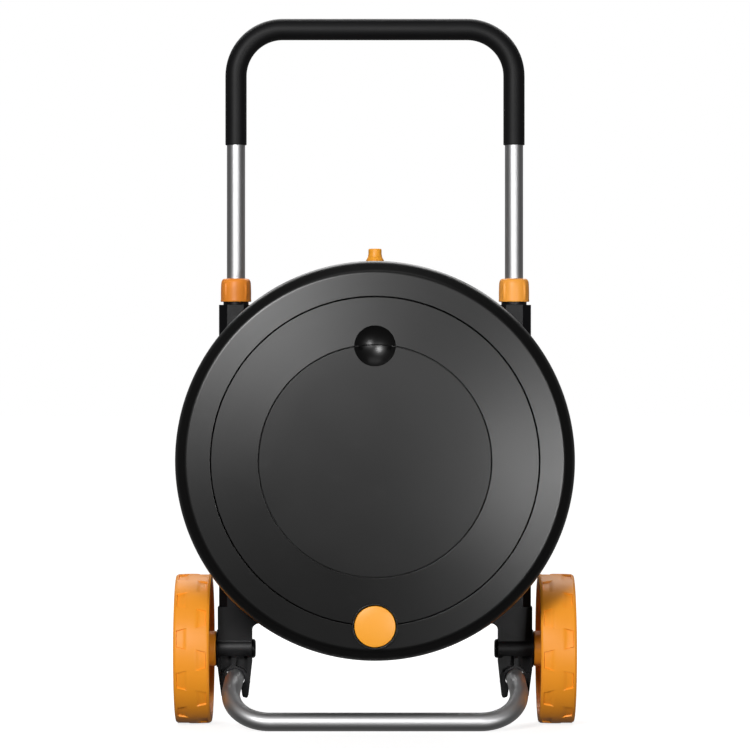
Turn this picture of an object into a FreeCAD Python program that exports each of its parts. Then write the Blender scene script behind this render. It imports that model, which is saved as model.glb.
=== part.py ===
import FreeCAD, Part

import math
import os

import Sketcher

# Garden hose reel cart, in millimetres. +Z is up, the front looks along -Y, +X is to the right.
# The origin lies on the ground under the middle of the cart's bounding box.

doc = FreeCAD.newDocument("hose_reel_cart")
Vector = FreeCAD.Vector
UP = Vector(0, 0, 1)
RIGHT = Vector(1, 0, 0)
BACK = Vector(0, 1, 0)

DIMENSIONS = {
    # telescopic handle
    "tube_radius": 12.5,
    "tube_wall": 1.5,
    "handle_half_width": 190.5,
    "handle_top": 950.5,
    "handle_bend": 64.0,
    "handle_foot": 395.0,
    "grip_radius": 14.6,
    "grip_bottom": 792.0,
    "glide_length": 15.0,
    # uprights and clamping collars
    "upright_width": 46.0,
    "upright_depth": 36.0,
    "upright_facet": 23.0,
    "upright_bottom": 160.0,
    "upright_top": 573.0,
    "upright_bore": 14.8,
    "neck_radius": 17.3,
    "neck_height": 4.0,
    "collar_radius": 20.9,
    "collar_height": 31.7,
    "collar_rib": 2.2,
    # crossbars and hub carrier
    "bar_depth": 28.0,
    "bar_height": 22.0,
    "bar_wall": 2.5,
    "lower_bar_height": 148.5,
    "upper_bar_height": 549.0,
    "lower_bar_half": 150.0,
    "upper_bar_half": 158.0,
    "tenon_length": 25.0,
    "carrier_width": 80.0,
    "carrier_plate": 8.0,
    "screw_hole": 2.6,
    # wheels and axles
    "wheel_radius": 102.3,
    "wheel_inner_face": 223.5,
    "wheel_width": 48.5,
    "wheel_hub_radius": 24.0,
    "tread_depth": 2.0,
    "tread_lip": 4.5,
    "tread_block": 13.5,
    "axle_radius": 6.0,
    "bracket_inner": 168.5,
    "bracket_outer": 215.0,
    "bracket_depth": 36.0,
    "barrel_radius": 21.5,
    # fold-away foot
    "foot_arm": 191.5,
    "foot_corner": 202.0,
    "foot_front": 125.0,
    "foot_clip_height": 62.5,
    "foot_pivot": 38.0,
    "foot_bend": 65.0,
    "foot_pin_radius": 4.0,
    "clip_slot": 26.8,
    # drum
    "drum_radius": 265.5,
    "drum_height": 363.0,
    "drum_front": 200.0,
    "drum_back": 31.0,
    "shell_wall": 3.2,
    "slot_back": 62.0,
    "slot_front": 97.0,
    "flange_back": 120.0,
    "flange_front": 123.0,
    "core_radius": 75.0,
    "rim_round": 17.0,
    "back_round": 27.0,
    "outer_seam": 217.6,
    "inner_seam": 154.0,
    "seam_gap": 1.2,
    "spindle_radius": 15.0,
    "bush_radius": 18.0,
    "bowl_radius": 40.0,
    "bowl_depth": 11.0,
    # crank
    "crank_offset": 218.5,
    "knob_radius": 27.3,
    "cup_radius": 28.4,
    "cup_wall": 2.1,
    # water supply
    "pipe_radius": 8.0,
    "pipe_bore": 6.0,
    "pipe_back": 37.0,
    "inlet_base": 634.0,
    "inlet_height": 17.2,
    "inlet_nose": 9.1,
}

sheet = doc.addObject("Spreadsheet::Sheet", "Dims")
for row, (alias, number) in enumerate(DIMENSIONS.items(), start=1):
    sheet.set(f"A{row}", alias)
    sheet.set(f"B{row}", str(number))
    sheet.setAlias(f"B{row}", alias)
doc.recompute()


class Size:
    """A length that carries its number and the spreadsheet expression it comes from."""

    def __init__(self, number, text):
        self.number = number
        self.text = text

    def __add__(self, other):
        return Size(self.number + number_of(other), f"({self.text} + {text_of(other)})")

    def __radd__(self, other):
        return Size(number_of(other) + self.number, f"({text_of(other)} + {self.text})")

    def __sub__(self, other):
        return Size(self.number - number_of(other), f"({self.text} - {text_of(other)})")

    def __rsub__(self, other):
        return Size(number_of(other) - self.number, f"({text_of(other)} - {self.text})")

    def __mul__(self, factor):
        return Size(self.number * factor, f"({self.text} * {text_of(factor)})")

    __rmul__ = __mul__

    def __truediv__(self, factor):
        return Size(self.number / factor, f"({self.text} / {text_of(factor)})")

    def __neg__(self):
        return Size(-self.number, f"(-{self.text})")


def number_of(size):
    return size.number if isinstance(size, Size) else float(size)


def text_of(size):
    return size.text if isinstance(size, Size) else f"({float(size)})"


class Dims:
    """The sheet's cells by alias, each one a Size."""

    def __getattr__(self, alias):
        return Size(DIMENSIONS[alias], "Dims." + alias)


dims = Dims()


def bind(thing, path, size):
    """Ties one property to the sheet."""
    thing.setExpression(path, text_of(size))


def place(thing, x=0, y=0, z=0, axis=UP, angle=0):
    """Puts a sub-part at a point bound to the sheet, turned about an axis."""
    thing.Placement = FreeCAD.Placement(Vector(0, 0, 0), FreeCAD.Rotation(axis, angle))
    bind(thing, ".Placement.Base.x", x)
    bind(thing, ".Placement.Base.y", y)
    bind(thing, ".Placement.Base.z", z)


# The cart's depth runs from the drum's nose to the wheels' backs, and the origin is midway.
plane_y = (dims.drum_front - dims.wheel_radius) / 2.0
SIDES = (("left", -1), ("right", 1))


# ---------------------------------------------------------------- sketches and bodies

def new_body(label):
    body = doc.addObject("PartDesign::Body", label)
    body.Label = label
    return body


def new_sketch(body, plane, offset=0):
    """A sketch on one of the body's own origin planes, moved along the plane's normal."""
    sketch = body.newObject("Sketcher::SketchObject", body.Name + "_sketch")
    support = [item for item in body.Origin.OriginFeatures if item.Role == plane][0]
    sketch.AttachmentSupport = (support, [""])
    sketch.MapMode = "FlatFace"
    bind(sketch, ".AttachmentOffset.Base.z", offset)
    return sketch


def pin_point(sketch, geometry, vertex, x, y):
    """Fixes a sketch point at bound distances from the sketch's origin."""
    for kind, size in (("DistanceX", x), ("DistanceY", y)):
        index = sketch.addConstraint(Sketcher.Constraint(kind, -1, 1, geometry, vertex, number_of(size)))
        sketch.setExpression(f"Constraints[{index}]", text_of(size))


def draw_path(sketch, points, closed=True):
    """Lines through the points (x, y) or (x, y, rounding radius), each one bound to the sheet."""
    count = len(points)
    flat = [Vector(number_of(p[0]), number_of(p[1]), 0) for p in points]
    bends = [number_of(p[2]) if len(p) > 2 else 0.0 for p in points]
    starts = list(flat)
    ends = list(flat)
    for i in range(count):
        if not bends[i]:
            continue
        before = (flat[i - 1] - flat[i]).normalize()
        after = (flat[(i + 1) % count] - flat[i]).normalize()
        reach = bends[i] / math.tan(before.getAngle(after) / 2.0)
        ends[i] = flat[i] + before * reach
        starts[i] = flat[i] + after * reach
    lines = []
    for i in range(count if closed else count - 1):
        lines.append(sketch.addGeometry(Part.LineSegment(starts[i], ends[(i + 1) % count])))
    for i, point in enumerate(points):
        open_end = not closed and i in (0, count - 1)
        line_in = lines[i - 1]
        line_out = lines[i % len(lines)]
        if open_end:
            line, vertex = (lines[0], 1) if i == 0 else (lines[-1], 2)
            pin_point(sketch, line, vertex, point[0], point[1])
        elif not bends[i]:
            sketch.addConstraint(Sketcher.Constraint("Coincident", line_in, 2, line_out, 1))
            pin_point(sketch, line_out, 1, point[0], point[1])
        else:
            before = (flat[i - 1] - flat[i]).normalize()
            after = (flat[(i + 1) % count] - flat[i]).normalize()
            middle = (before + after).normalize()
            gap = bends[i] / math.sin(before.getAngle(after) / 2.0)
            centre = flat[i] + middle * gap
            nearest = centre - middle * bends[i]
            arc = sketch.addGeometry(Part.Arc(ends[i], nearest, starts[i]))
            left_turn = (-before).cross(after).z > 0
            first, last = (1, 2) if left_turn else (2, 1)
            corner = sketch.addGeometry(Part.Point(flat[i]), True)
            pin_point(sketch, corner, 1, point[0], point[1])
            sketch.addConstraint([
                Sketcher.Constraint("PointOnObject", corner, 1, line_in),
                Sketcher.Constraint("PointOnObject", corner, 1, line_out),
                Sketcher.Constraint("Tangent", line_in, 2, arc, first),
                Sketcher.Constraint("Tangent", arc, last, line_out, 1),
            ])
            index = sketch.addConstraint(Sketcher.Constraint("Radius", arc, bends[i]))
            sketch.setExpression(f"Constraints[{index}]", text_of(point[2]))


def draw_circle(sketch, x, y, radius):
    """A circle with its centre and radius bound to the sheet."""
    centre = Vector(number_of(x), number_of(y), 0)
    circle = sketch.addGeometry(Part.Circle(centre, UP, number_of(radius)))
    pin_point(sketch, circle, 3, x, y)
    index = sketch.addConstraint(Sketcher.Constraint("Radius", circle, number_of(radius)))
    sketch.setExpression(f"Constraints[{index}]", text_of(radius))


def turned(label, outline):
    """A body turned about its own Z axis from an outline of (radius, height) points."""
    body = new_body(label)
    sketch = new_sketch(body, "XZ_Plane")
    draw_path(sketch, outline)
    solid = body.newObject("PartDesign::Revolution", label + "_turned")
    solid.Profile = sketch
    solid.ReferenceAxis = (sketch, ["V_Axis"])
    solid.Angle = 360
    body.Tip = solid
    return body


def pad(body, sketch, length, both_ways=False, reverse=False):
    """Adds the sketch's outline to the body, pushed out by a length."""
    solid = body.newObject("PartDesign::Pad", body.Name + "_pad")
    solid.Profile = sketch
    bind(solid, "Length", length)
    solid.Midplane = both_ways
    solid.Reversed = reverse
    body.Tip = solid
    return solid


def pocket(body, sketch, length, both_ways=False, reverse=False):
    """Cuts the sketch's outline into the body, and makes sure that it took material away."""
    doc.recompute()
    before = body.Shape.Volume
    hollow = body.newObject("PartDesign::Pocket", body.Name + "_pocket")
    hollow.Profile = sketch
    bind(hollow, "Length", length)
    hollow.Midplane = both_ways
    hollow.Reversed = reverse
    body.Tip = hollow
    doc.recompute()
    if body.Shape.Volume >= before - 1.0:
        raise ValueError(body.Label + " has a pocket that cuts nothing")
    return hollow


def around(body, features, count):
    """Repeats features about the body's own Z axis."""
    pattern = body.newObject("PartDesign::PolarPattern", body.Name + "_pattern")
    pattern.Originals = features
    axis = [item for item in body.Origin.OriginFeatures if item.Role == "Z_Axis"][0]
    pattern.Axis = (axis, [""])
    pattern.Angle = 360
    pattern.Occurrences = count
    body.Tip = pattern
    return pattern


def cylinder(name, radius, length, x=0, y=0, z=0, axis=UP, angle=0):
    """A plain cylinder from (x, y, z) along the turned Z axis."""
    solid = doc.addObject("Part::Cylinder", name)
    bind(solid, "Radius", radius)
    bind(solid, "Height", length)
    place(solid, x, y, z, axis, angle)
    return solid


def block(name, size_x, size_y, size_z, x, y, z):
    """A plain box from its low corner."""
    solid = doc.addObject("Part::Box", name)
    bind(solid, "Length", size_x)
    bind(solid, "Width", size_y)
    bind(solid, "Height", size_z)
    place(solid, x, y, z)
    return solid


def ball(name, radius, x, y, z):
    solid = doc.addObject("Part::Sphere", name)
    bind(solid, "Radius", radius)
    place(solid, x, y, z)
    return solid


def cut(label, base, tools):
    """Base with every tool taken away, one after the other."""
    for number, tool in enumerate(tools, start=1):
        name = label if tool is tools[-1] else f"{label}_step_{number}"
        result = doc.addObject("Part::Cut", name)
        result.Label = name
        result.Base = base
        result.Tool = tool
        base = result
    return result


def fuse(label, shapes):
    result = doc.addObject("Part::MultiFuse", label)
    result.Shapes = shapes
    result.Label = label
    return result


def common(label, shapes):
    result = doc.addObject("Part::MultiCommon", label)
    result.Shapes = shapes
    result.Label = label
    return result


def group(label, shapes):
    """Several identical solids in one sub-part."""
    result = doc.addObject("Part::Compound", label)
    result.Links = shapes
    result.Label = label
    return result


def mirrored(label, source):
    """The other side's sub-part, mirrored across the cart's middle."""
    result = doc.addObject("Part::Mirroring", label)
    result.Source = source
    result.Normal = RIGHT
    result.Label = label
    return result


parts = {}


def keep(*things):
    for thing in things:
        parts[thing.Label] = thing


# ---------------------------------------------------------------- telescopic handle

def handle_pipe(label, bottom, outer, inner):
    """A tube bent into the handle's upside-down U, with both ends at one height."""
    body = new_body(label)
    half = dims.handle_half_width
    spine = new_sketch(body, "XZ_Plane")
    draw_path(spine, [
        (-half, bottom),
        (-half, dims.handle_top, dims.handle_bend),
        (half, dims.handle_top, dims.handle_bend),
        (half, bottom),
    ], closed=False)
    ring = new_sketch(body, "XY_Plane", bottom)
    draw_circle(ring, -half, 0, outer)
    draw_circle(ring, -half, 0, inner)
    pipe = body.newObject("PartDesign::AdditivePipe", label + "_pipe")
    pipe.Profile = ring
    pipe.Spine = spine
    body.Tip = pipe
    place(body, 0, plane_y, 0)
    return body


keep(handle_pipe("handle_tube", dims.handle_foot, dims.tube_radius, dims.tube_radius - dims.tube_wall))
keep(handle_pipe("handle_grip", dims.grip_bottom, dims.grip_radius, dims.tube_radius + 0.05))

# A glide closes each lower end of the tube and runs in the upright's bore.
for side, sign in SIDES:
    glide_radius = dims.upright_bore - 0.06
    plug_radius = dims.tube_radius - dims.tube_wall - 0.05
    glide = turned(f"handle_glide_{side}", [
        (0, 0),
        (glide_radius, 0, 1.5),
        (glide_radius, dims.glide_length),
        (plug_radius, dims.glide_length),
        (plug_radius, dims.glide_length + 20),
        (0, dims.glide_length + 20),
    ])
    place(glide, dims.handle_half_width * sign, plane_y, dims.handle_foot - dims.glide_length)
    keep(glide)


# ---------------------------------------------------------------- uprights, collets and collars

def upright_body(label):
    """The right-hand upright: a faceted sleeve with a round bore and a tenon for the upper crossbar."""
    body = new_body(label)
    half_x = dims.upright_width / 2
    half_y = dims.upright_depth / 2
    facet = dims.upright_facet / 2
    profile = new_sketch(body, "XY_Plane", dims.upright_bottom)
    draw_path(profile, [
        (dims.handle_half_width + x, y, 2.0)
        for x, y in (
            (-facet, -half_y), (facet, -half_y), (half_x, -half_y / 2), (half_x, half_y / 2),
            (facet, half_y), (-facet, half_y), (-half_x, half_y / 2), (-half_x, -half_y / 2),
        )
    ])
    draw_circle(profile, dims.handle_half_width, 0, dims.upright_bore)
    pad(body, profile, dims.upright_top - dims.upright_bottom)
    add_tenon(body, dims.upper_bar_half, dims.handle_half_width - half_x + 0.5, dims.upper_bar_height)
    place(body, 0, plane_y, 0)
    return body


def add_tenon(body, bar_end, root, height):
    """A lug as large as the crossbar, then a tenon that fills the crossbar's open end."""
    for start, stop, trim in ((bar_end, root, 0), (bar_end - dims.tenon_length, bar_end, dims.bar_wall + 0.2)):
        half_y = dims.bar_depth / 2 - trim
        half_z = dims.bar_height / 2 - trim
        section = new_sketch(body, "YZ_Plane", start)
        draw_path(section, [
            (-half_y, height - half_z),
            (half_y, height - half_z),
            (half_y, height + half_z),
            (-half_y, height + half_z),
        ])
        pad(body, section, stop - start)
    hole = new_sketch(body, "XZ_Plane")
    draw_circle(hole, bar_end - dims.tenon_length / 2, height, dims.screw_hole)
    pocket(body, hole, dims.bar_depth)


keep(upright_body("upright_right"))
keep(mirrored("upright_left", parts["upright_right"]))

for side, sign in SIDES:
    # The collet is the split neck that the collar squeezes on to the handle tube.
    bore = dims.tube_radius + 0.06
    collet = turned(f"collet_{side}", [
        (bore, -28),
        (dims.upright_bore - 0.1, -28),
        (dims.upright_bore - 0.1, 0),
        (dims.neck_radius, 0, 0.4),
        (dims.neck_radius, dims.neck_height),
        (dims.neck_radius - 0.4, dims.neck_height),
        (dims.neck_radius - 0.4, 24),
        (dims.neck_radius - 3, 27),
        (bore, 27),
    ])
    place(collet, dims.handle_half_width * sign, plane_y, dims.upright_top)
    keep(collet)

    # The collar turns on the collet. Four soft ribs give the fingers a hold.
    collar = turned(f"collar_{side}", [
        (dims.neck_radius - 0.33, 0),
        (dims.collar_radius - 0.6, 0),
        (dims.collar_radius + 0.3, 1.0, 0.5),
        (dims.collar_radius - 0.1, dims.collar_height, 5.0),
        (dims.tube_radius + 0.4, dims.collar_height),
        (dims.tube_radius + 0.4, dims.collar_height - 6),
        (dims.neck_radius - 0.33, dims.collar_height - 6),
    ])
    rib = new_sketch(collar, "XY_Plane", 4.5)
    draw_circle(rib, dims.collar_radius + 0.9 - dims.collar_rib, 0, dims.collar_rib)
    rib_pad = pad(collar, rib, dims.collar_height - 9.5)
    around(collar, [rib_pad], 4)
    place(collar, dims.handle_half_width * sign, plane_y,
          dims.upright_top + dims.neck_height + 0.3, UP, 45)
    keep(collar)


# ---------------------------------------------------------------- crossbars, hub carrier and spindle

def crossbar(label, half, height, carrier_holes):
    """A hollow bar across the cart, open at both ends, with its screw holes."""
    body = new_body(label)
    section = new_sketch(body, "YZ_Plane")
    for trim in (0, dims.bar_wall):
        half_y = dims.bar_depth / 2 - trim
        half_z = dims.bar_height / 2 - trim
        draw_path(section, [
            (-half_y, -half_z, 1.5 if not trim else 0),
            (half_y, -half_z, 1.5 if not trim else 0),
            (half_y, half_z, 1.5 if not trim else 0),
            (-half_y, half_z, 1.5 if not trim else 0),
        ])
    pad(body, section, half * 2, both_ways=True)
    rear_holes = new_sketch(body, "XZ_Plane")
    for sign in (-1, 1):
        draw_circle(rear_holes, (half - dims.tenon_length / 2) * sign, 0, dims.screw_hole)
    pocket(body, rear_holes, dims.bar_depth)
    front_holes = new_sketch(body, "XZ_Plane")
    for sign in (-1, 1):
        draw_circle(front_holes, carrier_holes * sign, 0, dims.screw_hole)
    pocket(body, front_holes, dims.bar_depth, reverse=True)
    place(body, 0, plane_y, height)
    return body


carrier_screw_x = dims.carrier_width * 0.3
keep(crossbar("lower_crossbar", dims.lower_bar_half, dims.lower_bar_height, carrier_screw_x))
keep(crossbar("upper_crossbar", dims.upper_bar_half, dims.upper_bar_height, carrier_screw_x))


def hub_carrier():
    """The spine between the crossbars, with the boss that holds the drum's spindle."""
    body = new_body("hub_carrier")
    front = dims.bar_depth / 2 + dims.carrier_plate
    half = dims.carrier_width / 2
    low = dims.lower_bar_height - dims.bar_height / 2
    high = dims.upper_bar_height + dims.bar_height / 2
    plate = new_sketch(body, "XZ_Plane", dims.bar_depth / 2)
    draw_path(plate, [(-half, low, 8.0), (half, low, 8.0), (half, high, 8.0), (-half, high, 8.0)])
    for sign in (-1, 1):
        for bar in (dims.lower_bar_height, dims.upper_bar_height):
            draw_circle(plate, carrier_screw_x * sign, bar, dims.screw_hole)
    pad(body, plate, dims.carrier_plate)
    ribs = new_sketch(body, "XZ_Plane", -6)
    for sign in (-1, 1):
        inner = (half - 9) * sign
        outer = (half - 4) * sign
        draw_path(ribs, [
            (inner, low + dims.bar_height + 2),
            (outer, low + dims.bar_height + 2),
            (outer, high - dims.bar_height - 2),
            (inner, high - dims.bar_height - 2),
        ])
    pad(body, ribs, dims.bar_depth / 2 + 7)
    boss = new_sketch(body, "XZ_Plane", -6)
    draw_circle(boss, 0, dims.drum_height, dims.spindle_radius + 13)
    pad(body, boss, front + 10)
    bore = new_sketch(body, "XZ_Plane", front + 10)
    draw_circle(bore, 0, dims.drum_height, dims.spindle_radius - 0.05)
    pocket(body, bore, 80)
    place(body, 0, plane_y, 0)
    return body


keep(hub_carrier())


def on_axle(thing, x=0, z=dims.drum_height):
    """Turns a body made about Z so that its heights run forward from the uprights' plane."""
    place(thing, x, plane_y, z, RIGHT, 90)


def spindle():
    """The hollow shaft that the drum turns on. Water enters behind and leaves through its side."""
    body = turned("hub_spindle", [
        (dims.pipe_bore, -30),
        (12, -30),
        (12, -6),
        (dims.spindle_radius - 0.1, -6),
        (dims.spindle_radius - 0.1, 26),
        (24, 26),
        (24, 28.5),
        (dims.spindle_radius, 28.5),
        (dims.spindle_radius, 118, 0.8),
        (3.05, 118),
        (3.05, 98),
        (0, 98),
        (0, 86),
        (dims.pipe_bore, 86),
    ])
    outlet = new_sketch(body, "XZ_Plane")
    draw_circle(outlet, 0, 75, 4.5)
    pocket(body, outlet, 20)
    on_axle(body)
    return body


keep(spindle())

spindle_nut = new_body("spindle_nut")
hexagon = new_sketch(spindle_nut, "XY_Plane", -15)
draw_path(hexagon, [
    (19 * math.cos(math.radians(60 * k)), 19 * math.sin(math.radians(60 * k)), 1.0) for k in range(6)
])
draw_circle(hexagon, 0, 0, 12.05)
pad(spindle_nut, hexagon, 8.8)
on_axle(spindle_nut)
keep(spindle_nut)

spindle_washer = turned("spindle_washer", [(3.1, 118.5), (22, 118.5), (22, 121), (3.1, 121)])
on_axle(spindle_washer)
keep(spindle_washer)

spindle_screw = turned("spindle_screw", [
    (0, 101), (3, 101), (3, 121.1), (8, 121.1), (8, 126, 1.5), (0, 126),
])
on_axle(spindle_screw)
keep(spindle_screw)


# ---------------------------------------------------------------- water supply

elbow_height = dims.drum_height + 40
elbow = cut("inlet_elbow", fuse("elbow_outside", [
    cylinder("elbow_cup", 17, 28, 0, plane_y + 16, dims.drum_height, RIGHT, -90),
    cylinder("elbow_port", 11.5, 40, 0, plane_y + dims.pipe_back, dims.drum_height),
]), [
    cylinder("elbow_cup_bore", 12.05, 15, 0, plane_y + 16, dims.drum_height, RIGHT, -90),
    cylinder("elbow_chamber", dims.pipe_bore, 24, 0, plane_y + 16, dims.drum_height, RIGHT, -90),
    cylinder("elbow_channel", dims.pipe_bore, 60, 0, plane_y + dims.pipe_back, dims.drum_height),
    cylinder("elbow_socket", dims.pipe_radius + 0.05, 20, 0, plane_y + dims.pipe_back, elbow_height - 16),
])
keep(elbow)

supply_pipe = new_body("supply_pipe")
pipe_ring = new_sketch(supply_pipe, "XY_Plane")
draw_circle(pipe_ring, 0, 0, dims.pipe_radius)
draw_circle(pipe_ring, 0, 0, dims.pipe_bore)
pad(supply_pipe, pipe_ring, dims.inlet_base - 28.5 - (elbow_height - 15.8))
place(supply_pipe, 0, plane_y + dims.pipe_back, elbow_height - 15.8)
keep(supply_pipe)

fitting = cut("inlet_fitting", fuse("fitting_outside", [
    cylinder("fitting_barrel", 12.4, 46, 0, plane_y + dims.pipe_back, dims.inlet_base - 46),
    block("fitting_arm", 22, 20, 70, -11, plane_y + dims.bar_depth / 2, dims.upper_bar_height - 8),
]), [
    cylinder("fitting_bore", dims.pipe_bore, 46, 0, plane_y + dims.pipe_back, dims.inlet_base - 46),
    cylinder("fitting_socket", dims.pipe_radius + 0.05, 120, 0, plane_y + dims.pipe_back,
             dims.inlet_base - 28 - 120),
    cylinder("fitting_mouth", dims.pipe_radius + 0.05, 13, 0, plane_y + dims.pipe_back,
             dims.inlet_base - 12.2),
])
keep(fitting)

inlet_nipple = turned("inlet_nipple", [
    (5, -12),
    (dims.pipe_radius, -12),
    (dims.pipe_radius, 0),
    (12.3, 0),
    (12.3, 1.2),
    (dims.inlet_nose + 0.9, 5.5, 5.0),
    (dims.inlet_nose, 10),
    (dims.inlet_nose, dims.inlet_height, 1.6),
    (5, dims.inlet_height),
])
place(inlet_nipple, 0, plane_y + dims.pipe_back, dims.inlet_base)
keep(inlet_nipple)


# ---------------------------------------------------------------- axle brackets

ear_inner = dims.bracket_inner + 4
ear_outer = dims.bracket_outer - 3.5


def axle_bracket():
    """The right-hand bracket: barrel for the axle, downward-open clip for the foot, ears for its pivot."""
    body = new_body("axle_bracket_right")
    slot = dims.clip_slot / 2
    middle = dims.foot_arm
    front = dims.bracket_depth / 2
    clip_top = dims.foot_clip_height + slot
    lug_end = dims.lower_bar_half
    lug_low = dims.lower_bar_height - dims.bar_height / 2
    lug_high = dims.lower_bar_height + dims.bar_height / 2
    upright_wall = dims.handle_half_width - dims.upright_width / 2
    face = new_sketch(body, "XZ_Plane", -front)
    draw_path(face, [
        (dims.bracket_outer, dims.upright_bottom),
        (dims.bracket_outer, 76, 30.0),
        (dims.bracket_outer - 5, 38, 2.0),
        (middle + slot, 38, 1.5),
        (middle + slot, clip_top, slot - 0.1),
        (middle - slot, clip_top, slot - 0.1),
        (middle - slot, 36, 1.5),
        (middle - slot - 4.2, 36, 2.0),
        (dims.bracket_inner, 84, 10.0),
        (dims.bracket_inner, lug_low, 11.0),
        (lug_end, lug_low),
        (lug_end, lug_high),
        (upright_wall, lug_high),
        (upright_wall, dims.upright_bottom),
    ])
    pad(body, face, dims.bracket_depth)
    barrel = new_sketch(body, "YZ_Plane", dims.bracket_inner)
    draw_circle(barrel, 0, dims.wheel_radius, dims.barrel_radius)
    pad(body, barrel, dims.bracket_outer - dims.bracket_inner)
    spigot = new_sketch(body, "XY_Plane", dims.upright_bottom - 2)
    draw_circle(spigot, dims.handle_half_width, 0, dims.upright_bore - 0.2)
    pad(body, spigot, 36)
    ear_end = dims.foot_pivot + 14
    ears = new_sketch(body, "XZ_Plane", -ear_end)
    draw_path(ears, [
        (ear_outer, 92),
        (ear_inner, 92),
        (ear_inner, 50, 2.0),
        (middle - 15.5, 50),
        (middle - 15.5, 84.5),
        (middle + 15.5, 84.5),
        (middle + 15.5, 50),
        (ear_outer, 50, 2.0),
    ])
    pad(body, ears, ear_end - front)
    add_bracket_tenon(body, lug_end)
    axle_hole = new_sketch(body, "YZ_Plane", dims.bracket_inner - 10)
    draw_circle(axle_hole, 0, dims.wheel_radius, dims.axle_radius + 0.05)
    pocket(body, axle_hole, 80, reverse=True)
    pivot_hole = new_sketch(body, "YZ_Plane", dims.bracket_inner - 10)
    draw_circle(pivot_hole, dims.foot_pivot, dims.foot_clip_height, dims.foot_pin_radius + 0.05)
    pocket(body, pivot_hole, 80, reverse=True)
    # Two pockets under the barrel leave a middle rib and a rib down each edge.
    recess = new_sketch(body, "XZ_Plane", dims.barrel_radius + 0.5)
    for sign, rib, edge in ((-1, middle - 1.5, ear_inner + 1.5), (1, middle + 4.5, ear_outer)):
        draw_path(recess, [
            (rib, 79.5, 1.5),
            (rib, 93, 1.5),
            (edge, 93, 1.5),
            (edge, 70, 0.8),
            (middle + 15.8 * sign, 70),
            (middle + 12 * sign, 75.3),
        ])
    pocket(body, recess, dims.barrel_radius - front + 14)
    place(body, 0, plane_y, 0)
    return body


def add_bracket_tenon(body, bar_end):
    """The tenon that fills the lower crossbar's open end, with its screw hole."""
    half_y = dims.bar_depth / 2 - dims.bar_wall - 0.2
    half_z = dims.bar_height / 2 - dims.bar_wall - 0.2
    height = dims.lower_bar_height
    section = new_sketch(body, "YZ_Plane", bar_end - dims.tenon_length)
    draw_path(section, [
        (-half_y, height - half_z),
        (half_y, height - half_z),
        (half_y, height + half_z),
        (-half_y, height + half_z),
    ])
    pad(body, section, dims.tenon_length + 3)
    hole = new_sketch(body, "XZ_Plane")
    draw_circle(hole, bar_end - dims.tenon_length / 2, height, dims.screw_hole)
    pocket(body, hole, dims.bar_depth)


keep(axle_bracket())
keep(mirrored("axle_bracket_left", parts["axle_bracket_right"]))


def screw_set(label, spots, length, head_radius, head_height, axis, angle):
    """Identical screws in one sub-part, each with its head at the given spot."""
    screws = []
    for number, (x, y, z) in enumerate(spots, start=1):
        name = f"{label}_{number}"
        head = cylinder(name + "_head", head_radius, head_height, x, y, z, axis, angle)
        shank = cylinder(name + "_shank", dims.screw_hole - 0.1, length, x, y, z, axis, angle)
        screws.append(fuse(name, [head, shank]))
    return group(label, screws)


# ---------------------------------------------------------------- frame screws

bar_ends = ((dims.lower_bar_half, dims.lower_bar_height), (dims.upper_bar_half, dims.upper_bar_height))
crossbar_spots = [
    ((half - dims.tenon_length / 2) * sign, plane_y + dims.bar_depth / 2 + 2.5, height)
    for half, height in bar_ends for sign in (-1, 1)
]
carrier_spots = [
    (carrier_screw_x * sign, plane_y - dims.bar_depth / 2 - dims.carrier_plate - 2.5, height)
    for _, height in bar_ends for sign in (-1, 1)
]
# The shanks run forward from heads behind the crossbars, or back from heads on the carrier.
keep(screw_set("crossbar_screws", crossbar_spots, 14, 5.0, 2.5, RIGHT, 90))
keep(screw_set("carrier_screws", carrier_spots, 16, 5.0, 2.5, RIGHT, -90))


# ---------------------------------------------------------------- wheels and axles

def wheel(label):
    """A moulded wheel, hollow on both sides, with two staggered rows of tread recesses."""
    width = dims.wheel_width
    rim = dims.wheel_radius - 11
    hub = dims.wheel_hub_radius
    bore = 8.15
    body = turned(label, [
        (bore, -6.2),
        (hub, -6.2, 1.5),
        (hub, 21, 4.0),
        (rim - 2, 21, 4.0),
        (rim, 0, 1.0),
        (dims.wheel_radius - 3.5, 0, 1.0),
        (dims.wheel_radius, 3.5, 2.0),
        (dims.wheel_radius, width - 3.5, 2.0),
        (dims.wheel_radius - 3.5, width, 1.0),
        (rim, width, 1.0),
        (rim - 2, 27, 4.0),
        (hub, 27, 4.0),
        (hub, 46, 1.0),
        (16, 46),
        (16, 38),
        (bore, 38),
    ])
    blocks = 11
    lip_end = dims.tread_lip + dims.tread_block
    for low, high, turn in (
        (dims.tread_lip, lip_end, 0.0),
        (width - lip_end, width - dims.tread_lip, 180.0 / blocks),
    ):
        section = new_sketch(body, "XZ_Plane")
        draw_path(section, [
            (dims.wheel_radius - dims.tread_depth, low),
            (dims.wheel_radius + 3, low),
            (dims.wheel_radius + 3, high),
            (dims.wheel_radius - dims.tread_depth, high),
        ])
        section.AttachmentOffset = FreeCAD.Placement(Vector(0, 0, 0), FreeCAD.Rotation(BACK, turn))
        groove = body.newObject("PartDesign::Groove", label + "_tread")
        groove.Profile = section
        groove.ReferenceAxis = (section, ["V_Axis"])
        groove.Angle = 180.0 / blocks
        body.Tip = groove
        around(body, [groove], blocks)
    window = new_sketch(body, "XY_Plane", 15)
    draw_circle(window, 57, 0, 17)
    opening = pocket(body, window, 20, reverse=True)
    around(body, [opening], 6)
    return body


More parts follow.
